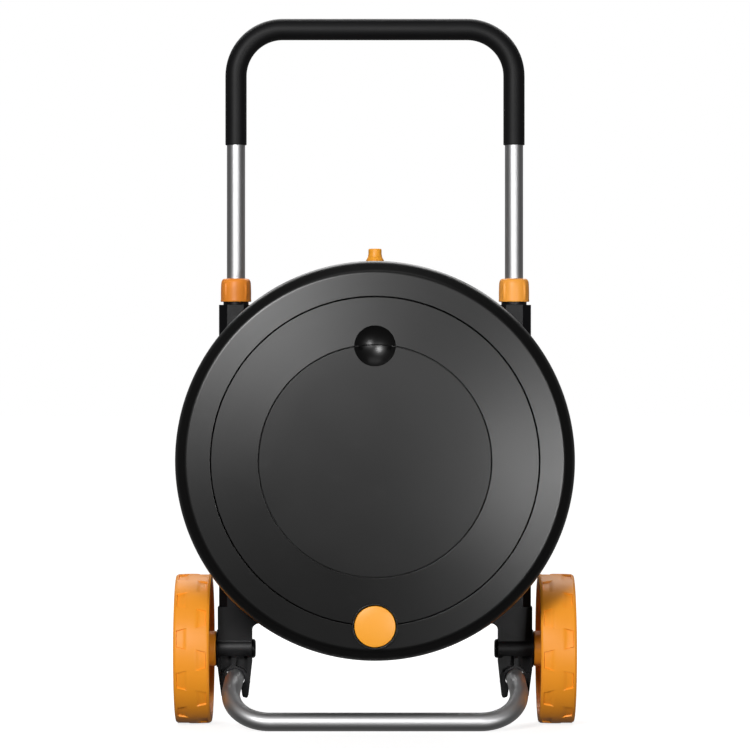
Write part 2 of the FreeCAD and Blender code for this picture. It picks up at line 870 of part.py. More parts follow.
bush_bore = dims.axle_radius + 0.06
barrel_end = dims.bracket_outer - dims.bracket_inner
for side, sign in SIDES:
    face = dims.wheel_inner_face
    turn = 90 * sign
    tyre = wheel(f"wheel_{side}")
    bush = turned(f"wheel_bush_{side}", [(bush_bore, -6), (8.1, -6), (8.1, 38), (bush_bore, 38)])
    cap = turned(f"wheel_cap_{side}", [
        (0, 46.2), (13.9, 46.2), (13.9, 42), (15.9, 42), (15.9, 46.2), (23, 46.2),
        (23, dims.wheel_width, 1.5), (0, dims.wheel_width),
    ])
    for thing in (tyre, bush, cap):
        place(thing, face * sign, plane_y, dims.wheel_radius, BACK, turn)
        keep(thing)
    axle = turned(f"axle_pin_{side}", [
        (0, -5), (13, -5, 3.5), (13, -0.1), (dims.axle_radius, -0.1),
        (dims.axle_radius, barrel_end + 50.5, 1.0), (0, barrel_end + 50.5),
    ])
    washer = turned(f"axle_washer_{side}", [
        (dims.axle_radius + 0.2, barrel_end + 0.1), (25.5, barrel_end + 0.1, 0.5),
        (25.5, barrel_end + 2, 0.5), (dims.axle_radius + 0.2, barrel_end + 2),
    ])
    clip = turned(f"axle_clip_{side}", [
        (dims.axle_radius + 0.05, barrel_end + 47.1), (11, barrel_end + 47.1),
        (11, barrel_end + 48.9), (dims.axle_radius + 0.05, barrel_end + 48.9),
    ])
    for thing in (axle, washer, clip):
        place(thing, dims.bracket_inner * sign, plane_y, dims.wheel_radius, BACK, turn)
        keep(thing)


# ---------------------------------------------------------------- foot

def foot_path():
    """Corner points of the foot tube: back, bend in front of the clip, ground corner, and across."""
    arm = DIMENSIONS["foot_arm"]
    corner = DIMENSIONS["foot_corner"]
    back = DIMENSIONS["foot_pivot"] + 14
    bend = -DIMENSIONS["foot_bend"]
    front = -DIMENSIONS["foot_front"]
    high = DIMENSIONS["foot_clip_height"]
    low = DIMENSIONS["tube_radius"]
    side = [Vector(arm, back, high), Vector(arm, bend, high), Vector(corner, front, low)]
    return side + [Vector(-v.x, v.y, v.z) for v in reversed(side)]


def rounded_wire(points, radii):
    """Straight runs joined by tangent arcs."""
    edges = []
    last = points[0]
    for before, corner, after, radius in zip(points, points[1:], points[2:], radii):
        back = (before - corner).normalize()
        onward = (after - corner).normalize()
        half_angle = back.getAngle(onward) / 2
        start = corner + back * (radius / math.tan(half_angle))
        stop = corner + onward * (radius / math.tan(half_angle))
        middle = (back + onward).normalize()
        nearest = corner + middle * (radius / math.sin(half_angle) - radius)
        edges.append(Part.LineSegment(last, start).toShape())
        edges.append(Part.Arc(start, nearest, stop).toShape())
        last = stop
    edges.append(Part.LineSegment(last, points[-1]).toShape())
    return Part.Wire(edges)


def swept(path, radius):
    """A solid round bar along the path."""
    start = path.Edges[0].valueAt(path.Edges[0].FirstParameter)
    direction = path.Edges[0].tangentAt(path.Edges[0].FirstParameter)
    ring = Part.Wire([Part.makeCircle(radius, start, direction)])
    return path.makePipeShell([ring], True, True)


foot_wire = rounded_wire(foot_path(), [60.0, 53.0, 53.0, 60.0])
outer_bar = swept(foot_wire, DIMENSIONS["tube_radius"])
inner_bar = swept(foot_wire, DIMENSIONS["tube_radius"] - DIMENSIONS["tube_wall"])
pin_place = Vector(-250, DIMENSIONS["foot_pivot"], DIMENSIONS["foot_clip_height"])
pin_way = Part.makeCylinder(DIMENSIONS["foot_pin_radius"] + 0.3, 500, pin_place, RIGHT)
foot_tube = doc.addObject("Part::Feature", "foot_tube")
foot_tube.Label = "foot_tube"
foot_tube.Shape = outer_bar.cut(inner_bar).cut(pin_way)
place(foot_tube, 0, plane_y, 0)
keep(foot_tube)

plugs = []
pins = []
for side, sign in SIDES:
    plug_body = cylinder(f"foot_plug_{side}_bar", dims.tube_radius - dims.tube_wall - 0.05, 27.5,
                         dims.foot_arm * sign, plane_y + dims.foot_pivot - 13.5, dims.foot_clip_height,
                         RIGHT, -90)
    plug_hole = cylinder(f"foot_plug_{side}_hole", dims.foot_pin_radius + 0.05, 60,
                         dims.foot_arm * sign - 30, plane_y + dims.foot_pivot, dims.foot_clip_height,
                         BACK, 90)
    plugs.append(cut(f"foot_plug_{side}", plug_body, [plug_hole]))
    shank = ear_outer - ear_inner + 0.7
    pin = turned(f"foot_pin_{side}", [
        (0, 0), (dims.foot_pin_radius, 0, 0.8), (dims.foot_pin_radius, shank),
        (7, shank), (7, shank + 2.8, 1.0), (0, shank + 2.8),
    ])
    place(pin, (ear_inner - 0.5) * sign, plane_y + dims.foot_pivot, dims.foot_clip_height, BACK, 90 * sign)
    pins.append(pin)
keep(group("foot_plugs", plugs))
keep(group("foot_pivot_pins", pins))


# ---------------------------------------------------------------- drum

half_gap = dims.seam_gap / 2
wall = dims.shell_wall

rear_shell = turned("rear_shell", [
    (dims.bush_radius + 0.1, dims.drum_back),
    (dims.drum_radius, dims.drum_back, dims.back_round),
    (dims.drum_radius, dims.slot_back, 1.2),
    (dims.drum_radius - wall, dims.slot_back, 1.2),
    (dims.drum_radius - wall, dims.drum_back + wall, dims.back_round - wall),
    (dims.bush_radius + 6, dims.drum_back + wall),
    (dims.bush_radius + 6, dims.drum_back + 21),
    (dims.bush_radius + 0.1, dims.drum_back + 21),
])
on_axle(rear_shell)
keep(rear_shell)

spool_core = turned("spool_core", [
    (dims.core_radius - 13, dims.drum_back + 3.4),
    (dims.core_radius, dims.drum_back + 3.4),
    (dims.core_radius, dims.flange_back - 0.2),
    (dims.core_radius - 13, dims.flange_back - 0.2),
    (dims.core_radius - 13, dims.flange_back - 3.2),
    (dims.core_radius - 3, dims.flange_back - 3.2),
    (dims.core_radius - 3, dims.drum_back + 6.4),
    (dims.core_radius - 13, dims.drum_back + 6.4),
])
connector_hole = new_sketch(spool_core, "XZ_Plane")
draw_circle(connector_hole, 0, 75, 11)
pocket(spool_core, connector_hole, 100)
core_screw_hole = new_sketch(spool_core, "XY_Plane", dims.flange_back - 6)
draw_circle(core_screw_hole, dims.core_radius - 8, 0, dims.screw_hole)
around(spool_core, [pocket(spool_core, core_screw_hole, 20, reverse=True)], 6)
place(spool_core, 0, plane_y, dims.drum_height, RIGHT, 90)
keep(spool_core)

front_flange = turned("front_flange", [
    (dims.bush_radius + 0.1, dims.flange_back - 22),
    (dims.bush_radius + 10, dims.flange_back - 22),
    (dims.bush_radius + 10, dims.flange_back),
    (dims.drum_radius - wall - 1.8, dims.flange_back),
    (dims.drum_radius - wall - 1.8, dims.flange_front),
    (dims.bush_radius + 6, dims.flange_front),
    (dims.bush_radius + 6, dims.flange_back - 2),
    (dims.bush_radius + 0.1, dims.flange_back - 2),
])
flange_screw_hole = new_sketch(front_flange, "XY_Plane", dims.flange_back - 6)
draw_circle(flange_screw_hole, dims.core_radius - 8, 0, dims.screw_hole)
around(front_flange, [pocket(front_flange, flange_screw_hole, 20, reverse=True)], 6)
on_axle(front_flange)
keep(front_flange)

screw_circle = dims.core_radius - 8
drum_spots = [
    (screw_circle * math.cos(math.radians(60 * k)), plane_y - dims.flange_front - 2.5,
     dims.drum_height + screw_circle * math.sin(math.radians(60 * k)))
    for k in range(6)
]
keep(screw_set("drum_screws", drum_spots, 12, 4.5, 2.5, RIGHT, -90))

for name, low, flange in (("hub_bush_rear", dims.drum_back, 5), ("hub_bush_front", dims.flange_back - 22, 0)):
    outline = [
        (dims.spindle_radius + 0.05, low - (2 if flange else 0)),
        (dims.bush_radius + flange, low - 2),
        (dims.bush_radius + flange, low - 0.1),
        (dims.bush_radius, low - 0.1),
        (dims.bush_radius, low + 20),
        (dims.spindle_radius + 0.05, low + 20),
    ]
    if not flange:
        outline = [outline[0], (dims.bush_radius, low)] + outline[4:]
    hub_bush = turned(name, outline)
    on_axle(hub_bush)
    keep(hub_bush)

# The rotary outlet turns with the drum round the spindle's side hole and feeds the hose connector.
outlet_ring = turned("outlet_ring", [
    (dims.spindle_radius + 0.08, 61), (25, 61), (25, 90), (dims.spindle_radius + 0.08, 90),
    (dims.spindle_radius + 0.08, 87.2), (17.1, 87.2), (17.1, 83.8), (dims.spindle_radius + 0.08, 83.8),
    (dims.spindle_radius + 0.08, 80), (17.5, 80), (17.5, 70), (dims.spindle_radius + 0.08, 70),
    (dims.spindle_radius + 0.08, 67.2), (17.1, 67.2), (17.1, 63.8), (dims.spindle_radius + 0.08, 63.8),
])
on_axle(outlet_ring)
outlet_y = plane_y - 75
rotary_outlet = cut("rotary_outlet", fuse("outlet_outside", [
    outlet_ring,
    cylinder("outlet_branch", 9, 42, 0, outlet_y, dims.drum_height + 20),
]), [cylinder("outlet_bore", 4.5, 60, 0, outlet_y, dims.drum_height + 16)])
keep(rotary_outlet)

seal_rings = []
for number, low in enumerate((64.2, 84.2), start=1):
    seal = turned(f"outlet_seal_{number}", [
        (dims.spindle_radius + 0.03, low), (17, low), (17, low + 2.6), (dims.spindle_radius + 0.03, low + 2.6),
    ])
    on_axle(seal)
    seal_rings.append(seal)
keep(group("outlet_seals", seal_rings))

hose_connector = turned("hose_connector", [
    (4.5, 62.2), (10.6, 62.2), (10.6, 82, 1.0), (7.2, 84), (7.9, 90), (7.2, 92), (7.9, 98), (7.2, 100),
    (7.9, 106), (6.8, 108), (4.5, 108),
])
place(hose_connector, 0, outlet_y, dims.drum_height)
keep(hose_connector)

cup_wall = dims.cup_radius + dims.cup_wall
crank_height = dims.drum_height - dims.crank_offset
knob_way = cylinder("knob_way", cup_wall + 0.3, 120, 0, plane_y - dims.flange_front - 0.5, crank_height,
                    RIGHT, 90)

rim_turned = turned("rim_turned", [
    (dims.drum_radius - wall, dims.slot_front, 1.2),
    (dims.drum_radius, dims.slot_front, 1.2),
    (dims.drum_radius, dims.drum_front - 7.6, dims.rim_round),
    (dims.outer_seam + half_gap, dims.drum_front - 6),
    (dims.outer_seam + half_gap, dims.drum_front - 9.2),
    (dims.drum_radius - wall, dims.drum_front - 10.8, dims.rim_round - 3),
    (dims.drum_radius - wall, dims.flange_front + 3.2),
    (dims.drum_radius - 15, dims.flange_front + 3.2),
    (dims.drum_radius - 15, dims.flange_front + 0.2),
    (dims.drum_radius - wall, dims.flange_front + 0.2),
])
on_axle(rim_turned)
keep(cut("rim_shell", rim_turned, [knob_way]))

# The finger bowl is a ball-shaped hollow across the inner seam, half in the ring and half in the cover.
bowl_height = dims.drum_height + dims.inner_seam
bowl_y = plane_y - (dims.drum_front - 3 - dims.bowl_depth + dims.bowl_radius)
bowl_limit = cylinder("bowl_limit", dims.drum_radius, dims.drum_front - 3, 0, plane_y, dims.drum_height, RIGHT, 90)


def bowl_half(label, keep_inside):
    """Half of the bowl's thin wall, on one side of the inner seam."""
    skin = cut(label + "_skin", ball(label + "_outer", dims.bowl_radius + 2.6, 0, bowl_y, bowl_height),
               [ball(label + "_inner", dims.bowl_radius, 0, bowl_y, bowl_height)])
    if keep_inside:
        inside = cylinder(label + "_inside", dims.inner_seam - half_gap, dims.drum_front + 5, 0, plane_y,
                          dims.drum_height, RIGHT, 90)
        return common(label, [skin, bowl_limit, inside])
    outside = cylinder(label + "_outside", dims.inner_seam + half_gap, dims.drum_front + 5, 0, plane_y,
                       dims.drum_height, RIGHT, 90)
    return cut(label, common(label + "_whole", [skin, bowl_limit]), [outside])


ring_turned = turned("ring_turned", [
    (dims.inner_seam + half_gap, dims.drum_front - 3),
    (dims.outer_seam - half_gap, dims.drum_front - 5.7),
    (dims.outer_seam - half_gap, dims.drum_front - 8.9),
    (dims.inner_seam + 7.2, dims.drum_front - 6.4),
    (dims.inner_seam + 7.2, dims.flange_front + 0.2),
    (dims.inner_seam + 4, dims.flange_front + 0.2),
    (dims.inner_seam + 4, dims.drum_front - 10.2),
    (dims.inner_seam - 6, dims.drum_front - 10.2),
    (dims.inner_seam - 6, dims.drum_front - 7.2),
    (dims.inner_seam + half_gap, dims.drum_front - 7.2),
])
on_axle(ring_turned)
ring_carved = cut("ring_carved", ring_turned, [
    ball("ring_clearance", dims.bowl_radius + 3.4, 0, bowl_y, bowl_height), knob_way,
])
ring_back = cut("ring_back", ring_turned, [
    ball("ring_bowl", dims.bowl_radius, 0, bowl_y, bowl_height), knob_way,
    cylinder("ring_cover_side", dims.inner_seam + half_gap, 400, 0, plane_y, dims.drum_height, RIGHT, 90),
])
keep(fuse("front_ring_panel", [ring_carved, ring_back, bowl_half("ring_bowl_half", False)]))

cover_turned = turned("cover_turned", [
    (0, dims.drum_front - 3.2),
    (0, dims.drum_front),
    ((dims.inner_seam - half_gap) / 2, dims.drum_front, 4100),
    (dims.inner_seam - half_gap, dims.drum_front - 2.8),
    (dims.inner_seam - half_gap, dims.drum_front - 6),
    (dims.inner_seam - 7.2, dims.drum_front - 6),
    (dims.inner_seam - 7.2, dims.drum_front - 16),
    (dims.inner_seam - 10, dims.drum_front - 16),
    (dims.inner_seam - 10, dims.drum_front - 5.8),
])
on_axle(cover_turned)
cover_carved = cut("cover_carved", cover_turned, [ball("cover_bowl", dims.bowl_radius, 0, bowl_y, bowl_height)])
keep(fuse("center_cover", [cover_carved, bowl_half("cover_bowl_half", True)]))


# ---------------------------------------------------------------- crank

floor = dims.flange_front + 0.2
crank_cup = turned("crank_cup", [
    (7.05, floor),
    (cup_wall, floor),
    (cup_wall, dims.drum_front - 5.4),
    (dims.cup_radius, dims.drum_front - 5.4),
    (dims.cup_radius, floor + 3),
    (7.05, floor + 3),
])
crank_post = turned("crank_post", [
    (0, floor + 0.1), (7, floor + 0.1), (7, floor + 3.1), (12, floor + 3.1), (12, floor + 6),
    (6.9, floor + 6), (6.9, 180), (9, 180), (9, 186, 0.8), (0, 186),
])
crank_sleeve = turned("crank_sleeve", [
    (7.0, 131), (16, 131), (16, 133), (12, 133), (12, 192), (2.6, 192), (2.6, 187), (9.1, 187),
    (9.1, 146), (7.0, 146),
])
crank_grip = turned("crank_grip", [
    (12.1, 134), (16, 134), (16, 188), (dims.knob_radius - 3, 188), (dims.knob_radius - 3, 140),
    (dims.knob_radius, 140, 1.2), (dims.knob_radius, dims.drum_front - 6.5), (14.8, dims.drum_front - 6.5),
    (14.8, 191.5), (12.1, 191.5),
])
crank_washer = turned("crank_washer", [(2.6, 192.1), (14.4, 192.1), (14.4, 193.4), (2.6, 193.4)])
crank_screw = turned("crank_screw", [(0, 187.5), (2.5, 187.5), (2.5, 193.5), (5, 193.5), (5, 195.2), (0, 195.2)])
crank_cap = turned("crank_cap", [
    (0, 195.4),
    (6, 195.4),
    (6, dims.drum_front - 6.3),
    (dims.knob_radius, dims.drum_front - 6.3),
    (dims.knob_radius, dims.drum_front - 2.4, 1.4),
    (dims.knob_radius * 0.5, dims.drum_front - 0.6, 180),
    (0, dims.drum_front - 0.6),
])
for thing in (crank_cup, crank_post, crank_sleeve, crank_grip, crank_washer, crank_screw, crank_cap):
    on_axle(thing, 0, crank_height)
    keep(thing)


# ---------------------------------------------------------------- checks and files

doc.recompute()
failed = [thing.Label for thing in doc.Objects if "Invalid" in thing.State or "Error" in thing.State]
if failed:
    raise ValueError("failed to recompute: " + ", ".join(failed))
for label, thing in parts.items():
    if thing.Shape.isNull() or not thing.Shape.isValid():
        raise ValueError(label + " has no valid shape")

os.makedirs("parts", exist_ok=True)
for label, thing in parts.items():
    thing.Shape.exportStep(f"parts/{label}.step")
print(len(parts), "sub-parts written")
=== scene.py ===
import math

import bpy
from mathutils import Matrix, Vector


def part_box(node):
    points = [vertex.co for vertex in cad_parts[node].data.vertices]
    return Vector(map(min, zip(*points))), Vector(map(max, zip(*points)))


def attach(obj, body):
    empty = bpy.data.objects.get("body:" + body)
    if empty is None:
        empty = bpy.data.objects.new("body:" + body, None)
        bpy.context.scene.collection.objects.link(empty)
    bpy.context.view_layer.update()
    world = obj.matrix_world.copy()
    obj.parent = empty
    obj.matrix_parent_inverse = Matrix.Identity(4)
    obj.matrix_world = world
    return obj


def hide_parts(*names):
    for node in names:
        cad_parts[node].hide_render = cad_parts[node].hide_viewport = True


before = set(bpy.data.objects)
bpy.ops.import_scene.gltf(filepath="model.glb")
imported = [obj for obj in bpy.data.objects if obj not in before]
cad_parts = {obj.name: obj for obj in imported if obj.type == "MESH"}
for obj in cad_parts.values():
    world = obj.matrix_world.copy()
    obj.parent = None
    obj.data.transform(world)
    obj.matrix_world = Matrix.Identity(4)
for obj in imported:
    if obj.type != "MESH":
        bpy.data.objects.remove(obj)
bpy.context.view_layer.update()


# Studio: the camera stands level in front of the cart, far back, as for a catalogue picture. Two square
# softboxes light the front, one high on the left and one low on the right, a wide one stands behind and
# above, and a weak one hangs overhead. The floor is pale and turns white away from the cart.
drum_low, drum_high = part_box("rim_shell")
drum_centre = (drum_low + drum_high) / 2
upright_low, upright_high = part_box("upright_left")
upright_y = (upright_low.y + upright_high.y) / 2

camera_distance = 5.4
camera_height = 0.477
camera_data = bpy.data.cameras.new("catalogue_camera")
camera_data.lens = 189.1
camera_data.sensor_width = 36.0
camera = bpy.data.objects.new("catalogue_camera", camera_data)
camera.location = (0.0, upright_y - camera_distance, camera_height)
camera.rotation_euler = (math.radians(90), 0.0, 0.0)
bpy.context.scene.collection.objects.link(camera)
bpy.context.scene.camera = camera
bpy.context.scene.view_settings.view_transform = "Standard"


def softbox(name, place, aim, size, power):
    """A rectangular area light that looks at a point."""
    data = bpy.data.lights.new(name, "AREA")
    data.shape = "RECTANGLE"
    data.size, data.size_y = size
    data.energy = power
    light = bpy.data.objects.new(name, data)
    light.location = place
    light.rotation_euler = (Vector(aim) - Vector(place)).to_track_quat("-Z", "Y").to_euler()
    bpy.context.scene.collection.objects.link(light)


cart_middle = (0, 0, 0.4)
softbox("softbox_left", (-1.2, -4.35, 1.79), drum_centre, (0.9, 0.9), 150)
softbox("softbox_right", (1.56, -4.45, 0.16), drum_centre, (0.8, 0.8), 92)
softbox("softbox_back", (0.0, 1.9, 2.5), cart_middle, (3.4, 1.5), 60)
softbox("softbox_top", (0.0, -1.6, 3.4), cart_middle, (2.2, 1.2), 8)

# The room's light is weak in front of the cart and stronger behind it. The camera sees white paper.

world = bpy.data.worlds.new("studio_world")
bpy.context.scene.world = world
world.use_nodes = True
world_nodes = world.node_tree.nodes
world_links = world.node_tree.links
world_nodes.clear()
dim_room = world_nodes.new("ShaderNodeBackground")
dim_room.inputs["Color"].default_value = (1.0, 1.0, 1.0, 1.0)
room_place = world_nodes.new("ShaderNodeTexCoord")
room_sides = world_nodes.new("ShaderNodeSeparateXYZ")
room_depth = world_nodes.new("ShaderNodeMapRange")
room_depth.inputs["From Min"].default_value = -0.2
room_depth.inputs["From Max"].default_value = 0.6
room_depth.inputs["To Min"].default_value = 0.02
room_depth.inputs["To Max"].default_value = 0.20
world_links.new(room_place.outputs["Generated"], room_sides.inputs[0])
world_links.new(room_sides.outputs["Y"], room_depth.inputs["Value"])
world_links.new(room_depth.outputs["Result"], dim_room.inputs["Strength"])
white_paper = world_nodes.new("ShaderNodeBackground")
white_paper.inputs["Color"].default_value = (1.0, 1.0, 1.0, 1.0)
white_paper.inputs["Strength"].default_value = 1.0
who_looks = world_nodes.new("ShaderNodeLightPath")
room_mix = world_nodes.new("ShaderNodeMixShader")
world_out = world_nodes.new("ShaderNodeOutputWorld")
world_links.new(who_looks.outputs["Is Camera Ray"], room_mix.inputs["Fac"])
world_links.new(dim_room.outputs[0], room_mix.inputs[1])
world_links.new(white_paper.outputs[0], room_mix.inputs[2])
world_links.new(room_mix.outputs[0], world_out.inputs["Surface"])

# The floor is dark to the cart and pale to the camera, with its own glow that grows away from the cart.
floor_radius = 40
floor_height = -0.0005
bpy.ops.object.select_all(action="DESELECT")
bpy.ops.mesh.primitive_circle_add(vertices=96, radius=floor_radius, fill_type="NGON",
                                  location=(0, 0, floor_height))
floor = bpy.context.object
floor.name = "studio_floor"
floor_paint = bpy.data.materials.new("floor_paint")
floor_paint.use_nodes = True
floor_nodes = floor_paint.node_tree.nodes
floor_links = floor_paint.node_tree.links
floor_shader = floor_nodes["Principled BSDF"]
floor_shader.inputs["Roughness"].default_value = 0.9
floor_shader.inputs["Specular IOR Level"].default_value = 0.0
floor_shader.inputs["Emission Color"].default_value = (1, 1, 1, 1)
floor_eye = floor_nodes.new("ShaderNodeLightPath")
floor_tone = floor_nodes.new("ShaderNodeMapRange")
floor_tone.inputs["To Min"].default_value = 0.09
floor_tone.inputs["To Max"].default_value = 0.45
floor_place = floor_nodes.new("ShaderNodeTexCoord")
floor_reach = floor_nodes.new("ShaderNodeVectorMath")
floor_reach.operation = "LENGTH"
floor_fade = floor_nodes.new("ShaderNodeMapRange")
floor_fade.inputs["From Min"].default_value = 0.5
floor_fade.inputs["From Max"].default_value = 1.8
floor_fade.inputs["To Min"].default_value = 0.82
floor_fade.inputs["To Max"].default_value = 1.0
floor_glow = floor_nodes.new("ShaderNodeMath")
floor_glow.operation = "MULTIPLY"
floor_links.new(floor_eye.outputs["Is Camera Ray"], floor_tone.inputs["Value"])
floor_links.new(floor_tone.outputs["Result"], floor_shader.inputs["Base Color"])
floor_links.new(floor_place.outputs["Object"], floor_reach.inputs[0])
floor_links.new(floor_reach.outputs["Value"], floor_fade.inputs["Value"])
floor_links.new(floor_fade.outputs["Result"], floor_glow.inputs[0])
floor_links.new(floor_eye.outputs["Is Camera Ray"], floor_glow.inputs[1])
floor_links.new(floor_glow.outputs["Value"], floor_shader.inputs["Emission Strength"])
floor.data.materials.append(floor_paint)
floor.visible_glossy = False


# Frame mouldings: uprights, crossbars, hub carrier and water fittings, injection moulded in black
# polypropylene with a fine spark-eroded grain. Each keeps the shape it has and gets softened edges.
def grain_group():
    """Fine moulded grain over a slow ripple, put out as a normal."""
    group = bpy.data.node_groups.new("moulded_grain", "ShaderNodeTree")
    for label, start in (("Grain Scale", 900.0), ("Grain Height", 0.25), ("Ripple Height", 0.1)):
        socket = group.interface.new_socket(label, in_out="INPUT", socket_type="NodeSocketFloat")
        socket.default_value = start
    group.interface.new_socket("Normal", in_out="OUTPUT", socket_type="NodeSocketVector")
    nodes = group.nodes
    links = group.links
    values = nodes.new("NodeGroupInput")
    result = nodes.new("NodeGroupOutput")
    place = nodes.new("ShaderNodeTexCoord")
    ripple = nodes.new("ShaderNodeTexNoise")
    ripple.inputs["Scale"].default_value = 14.0
    ripple.inputs["Detail"].default_value = 2.0
    grain = nodes.new("ShaderNodeTexNoise")
    grain.inputs["Detail"].default_value = 3.0
    low = nodes.new("ShaderNodeBump")
    low.inputs["Distance"].default_value = 0.002
    fine = nodes.new("ShaderNodeBump")
    fine.inputs["Distance"].default_value = 0.0002
    links.new(place.outputs["Object"], ripple.inputs["Vector"])
    links.new(place.outputs["Object"], grain.inputs["Vector"])
    links.new(values.outputs["Grain Scale"], grain.inputs["Scale"])
    links.new(ripple.outputs["Fac"], low.inputs["Height"])
    links.new(values.outputs["Ripple Height"], low.inputs["Strength"])
    links.new(grain.outputs["Fac"], fine.inputs["Height"])
    links.new(values.outputs["Grain Height"], fine.inputs["Strength"])
    links.new(low.outputs["Normal"], fine.inputs["Normal"])
    links.new(fine.outputs["Normal"], result.inputs["Normal"])
    return group


def use_group():
    """Handling marks: clouded patches, hair scratches and worn edges, put out as colour and roughness."""
    group = bpy.data.node_groups.new("handling_marks", "ShaderNodeTree")
    for label, kind, start in (
        ("Clean", "NodeSocketColor", (0.5, 0.5, 0.5, 1)),
        ("Worn", "NodeSocketColor", (0.6, 0.6, 0.6, 1)),
        ("Roughness", "NodeSocketFloat", 0.4),
        ("Patches", "NodeSocketFloat", 0.1),
        ("Scratches", "NodeSocketFloat", 0.1),
        ("Edges", "NodeSocketFloat", 0.2),
    ):
        socket = group.interface.new_socket(label, in_out="INPUT", socket_type=kind)
        socket.default_value = start
    group.interface.new_socket("Color", in_out="OUTPUT", socket_type="NodeSocketColor")
    group.interface.new_socket("Roughness", in_out="OUTPUT", socket_type="NodeSocketFloat")
    nodes = group.nodes
    links = group.links
    values = nodes.new("NodeGroupInput")
    result = nodes.new("NodeGroupOutput")
    place = nodes.new("ShaderNodeTexCoord")

    clouds = nodes.new("ShaderNodeTexNoise")
    clouds.inputs["Scale"].default_value = 7.0
    clouds.inputs["Detail"].default_value = 6.0
    clouds.inputs["Roughness"].default_value = 0.62
    cloud_level = nodes.new("ShaderNodeMapRange")
    cloud_level.inputs["From Min"].default_value = 0.35
    cloud_level.inputs["From Max"].default_value = 0.7
    links.new(place.outputs["Object"], clouds.inputs["Vector"])
    links.new(clouds.outputs["Fac"], cloud_level.inputs["Value"])

    stretch = nodes.new("ShaderNodeMapping")
    stretch.inputs["Rotation"].default_value = (0.5, 0.7, 0.4)
    stretch.inputs["Scale"].default_value = (18, 420, 60)
    hairs = nodes.new("ShaderNodeTexNoise")
    hairs.inputs["Scale"].default_value = 1.0
    hairs.inputs["Detail"].default_value = 2.0
    hair_level = nodes.new("ShaderNodeMapRange")
    hair_level.inputs["From Min"].default_value = 0.68
    hair_level.inputs["From Max"].default_value = 0.75
    links.new(place.outputs["Object"], stretch.inputs["Vector"])
    links.new(stretch.outputs["Vector"], hairs.inputs["Vector"])
    links.new(hairs.outputs["Fac"], hair_level.inputs["Value"])

    shape = nodes.new("ShaderNodeNewGeometry")
    edge_level = nodes.new("ShaderNodeMapRange")
    edge_level.inputs["From Min"].default_value = 0.53
    edge_level.inputs["From Max"].default_value = 0.62
    links.new(shape.outputs["Pointiness"], edge_level.inputs["Value"])

    def combined(operation, first, second):
        """Two values multiplied or added, held between 0 and 1."""
        node = nodes.new("ShaderNodeMath")
        node.operation = operation
        node.use_clamp = True
        links.new(first, node.inputs[0])
        links.new(second, node.inputs[1])
        return node.outputs[0]

    patches = combined("MULTIPLY", cloud_level.outputs["Result"], values.outputs["Patches"])
    scratches = combined("MULTIPLY", hair_level.outputs["Result"], values.outputs["Scratches"])
    edges = combined("MULTIPLY", edge_level.outputs["Result"], values.outputs["Edges"])
    wear = combined("ADD", combined("ADD", patches, scratches), edges)
    tint = nodes.new("ShaderNodeMix")
    tint.data_type = "RGBA"
    links.new(wear, tint.inputs["Factor"])
    links.new(values.outputs["Clean"], tint.inputs["A"])
    links.new(values.outputs["Worn"], tint.inputs["B"])
    links.new(tint.outputs["Result"], result.inputs["Color"])
    half = nodes.new("ShaderNodeMath")
    half.operation = "MULTIPLY"
    half.inputs[1].default_value = 0.35
    links.new(combined("ADD", patches, scratches), half.inputs[0])
    rougher = combined("ADD", values.outputs["Roughness"], half.outputs[0])
    links.new(rougher, result.inputs["Roughness"])
    return group


moulded_grain = grain_group()
handling_marks = use_group()


def moulded_plastic(name, clean, worn, roughness, patches, scratches, edges, grain, ripple, gloss=0.5):
    """A moulded plastic: its colours, sheen, marks and grain."""
    material = bpy.data.materials.new(name)
    material.use_nodes = True
    nodes = material.node_tree.nodes
    links = material.node_tree.links
    shader = nodes["Principled BSDF"]
    shader.inputs["Specular IOR Level"].default_value = gloss
    marks = nodes.new("ShaderNodeGroup")
    marks.node_tree = handling_marks
    marks.inputs["Clean"].default_value = (*clean, 1)
    marks.inputs["Worn"].default_value = (*worn, 1)
    marks.inputs["Roughness"].default_value = roughness
    marks.inputs["Patches"].default_value = patches
    marks.inputs["Scratches"].default_value = scratches
    marks.inputs["Edges"].default_value = edges
    surface = nodes.new("ShaderNodeGroup")
    surface.node_tree = moulded_grain
    surface.inputs["Grain Height"].default_value = grain
    surface.inputs["Ripple Height"].default_value = ripple
    links.new(marks.outputs["Color"], shader.inputs["Base Color"])
    links.new(marks.outputs["Roughness"], shader.inputs["Roughness"])
    links.new(surface.outputs["Normal"], shader.inputs["Normal"])
    return material


def round_edges(piece, width, sharper_than, name="rounding"):
    """Rounds the edges that are sharper than an angle in degrees."""
    rounding = piece.modifiers.new(name, "BEVEL")
    rounding.width = width
    rounding.segments = 3
    rounding.limit_method = "ANGLE"
    rounding.angle_limit = math.radians(sharper_than)
    bpy.ops.object.modifier_apply(modifier=rounding.name)


def shade_flat_faces(piece, smooth):
    """Shades smooth up to an angle in degrees, with flat faces kept flat."""
    bpy.ops.object.shade_smooth_by_angle(angle=math.radians(smooth))
    flat_faces = piece.modifiers.new("flat_faces", "WEIGHTED_NORMAL")
    flat_faces.keep_sharp = True
    bpy.ops.object.modifier_apply(modifier=flat_faces.name)


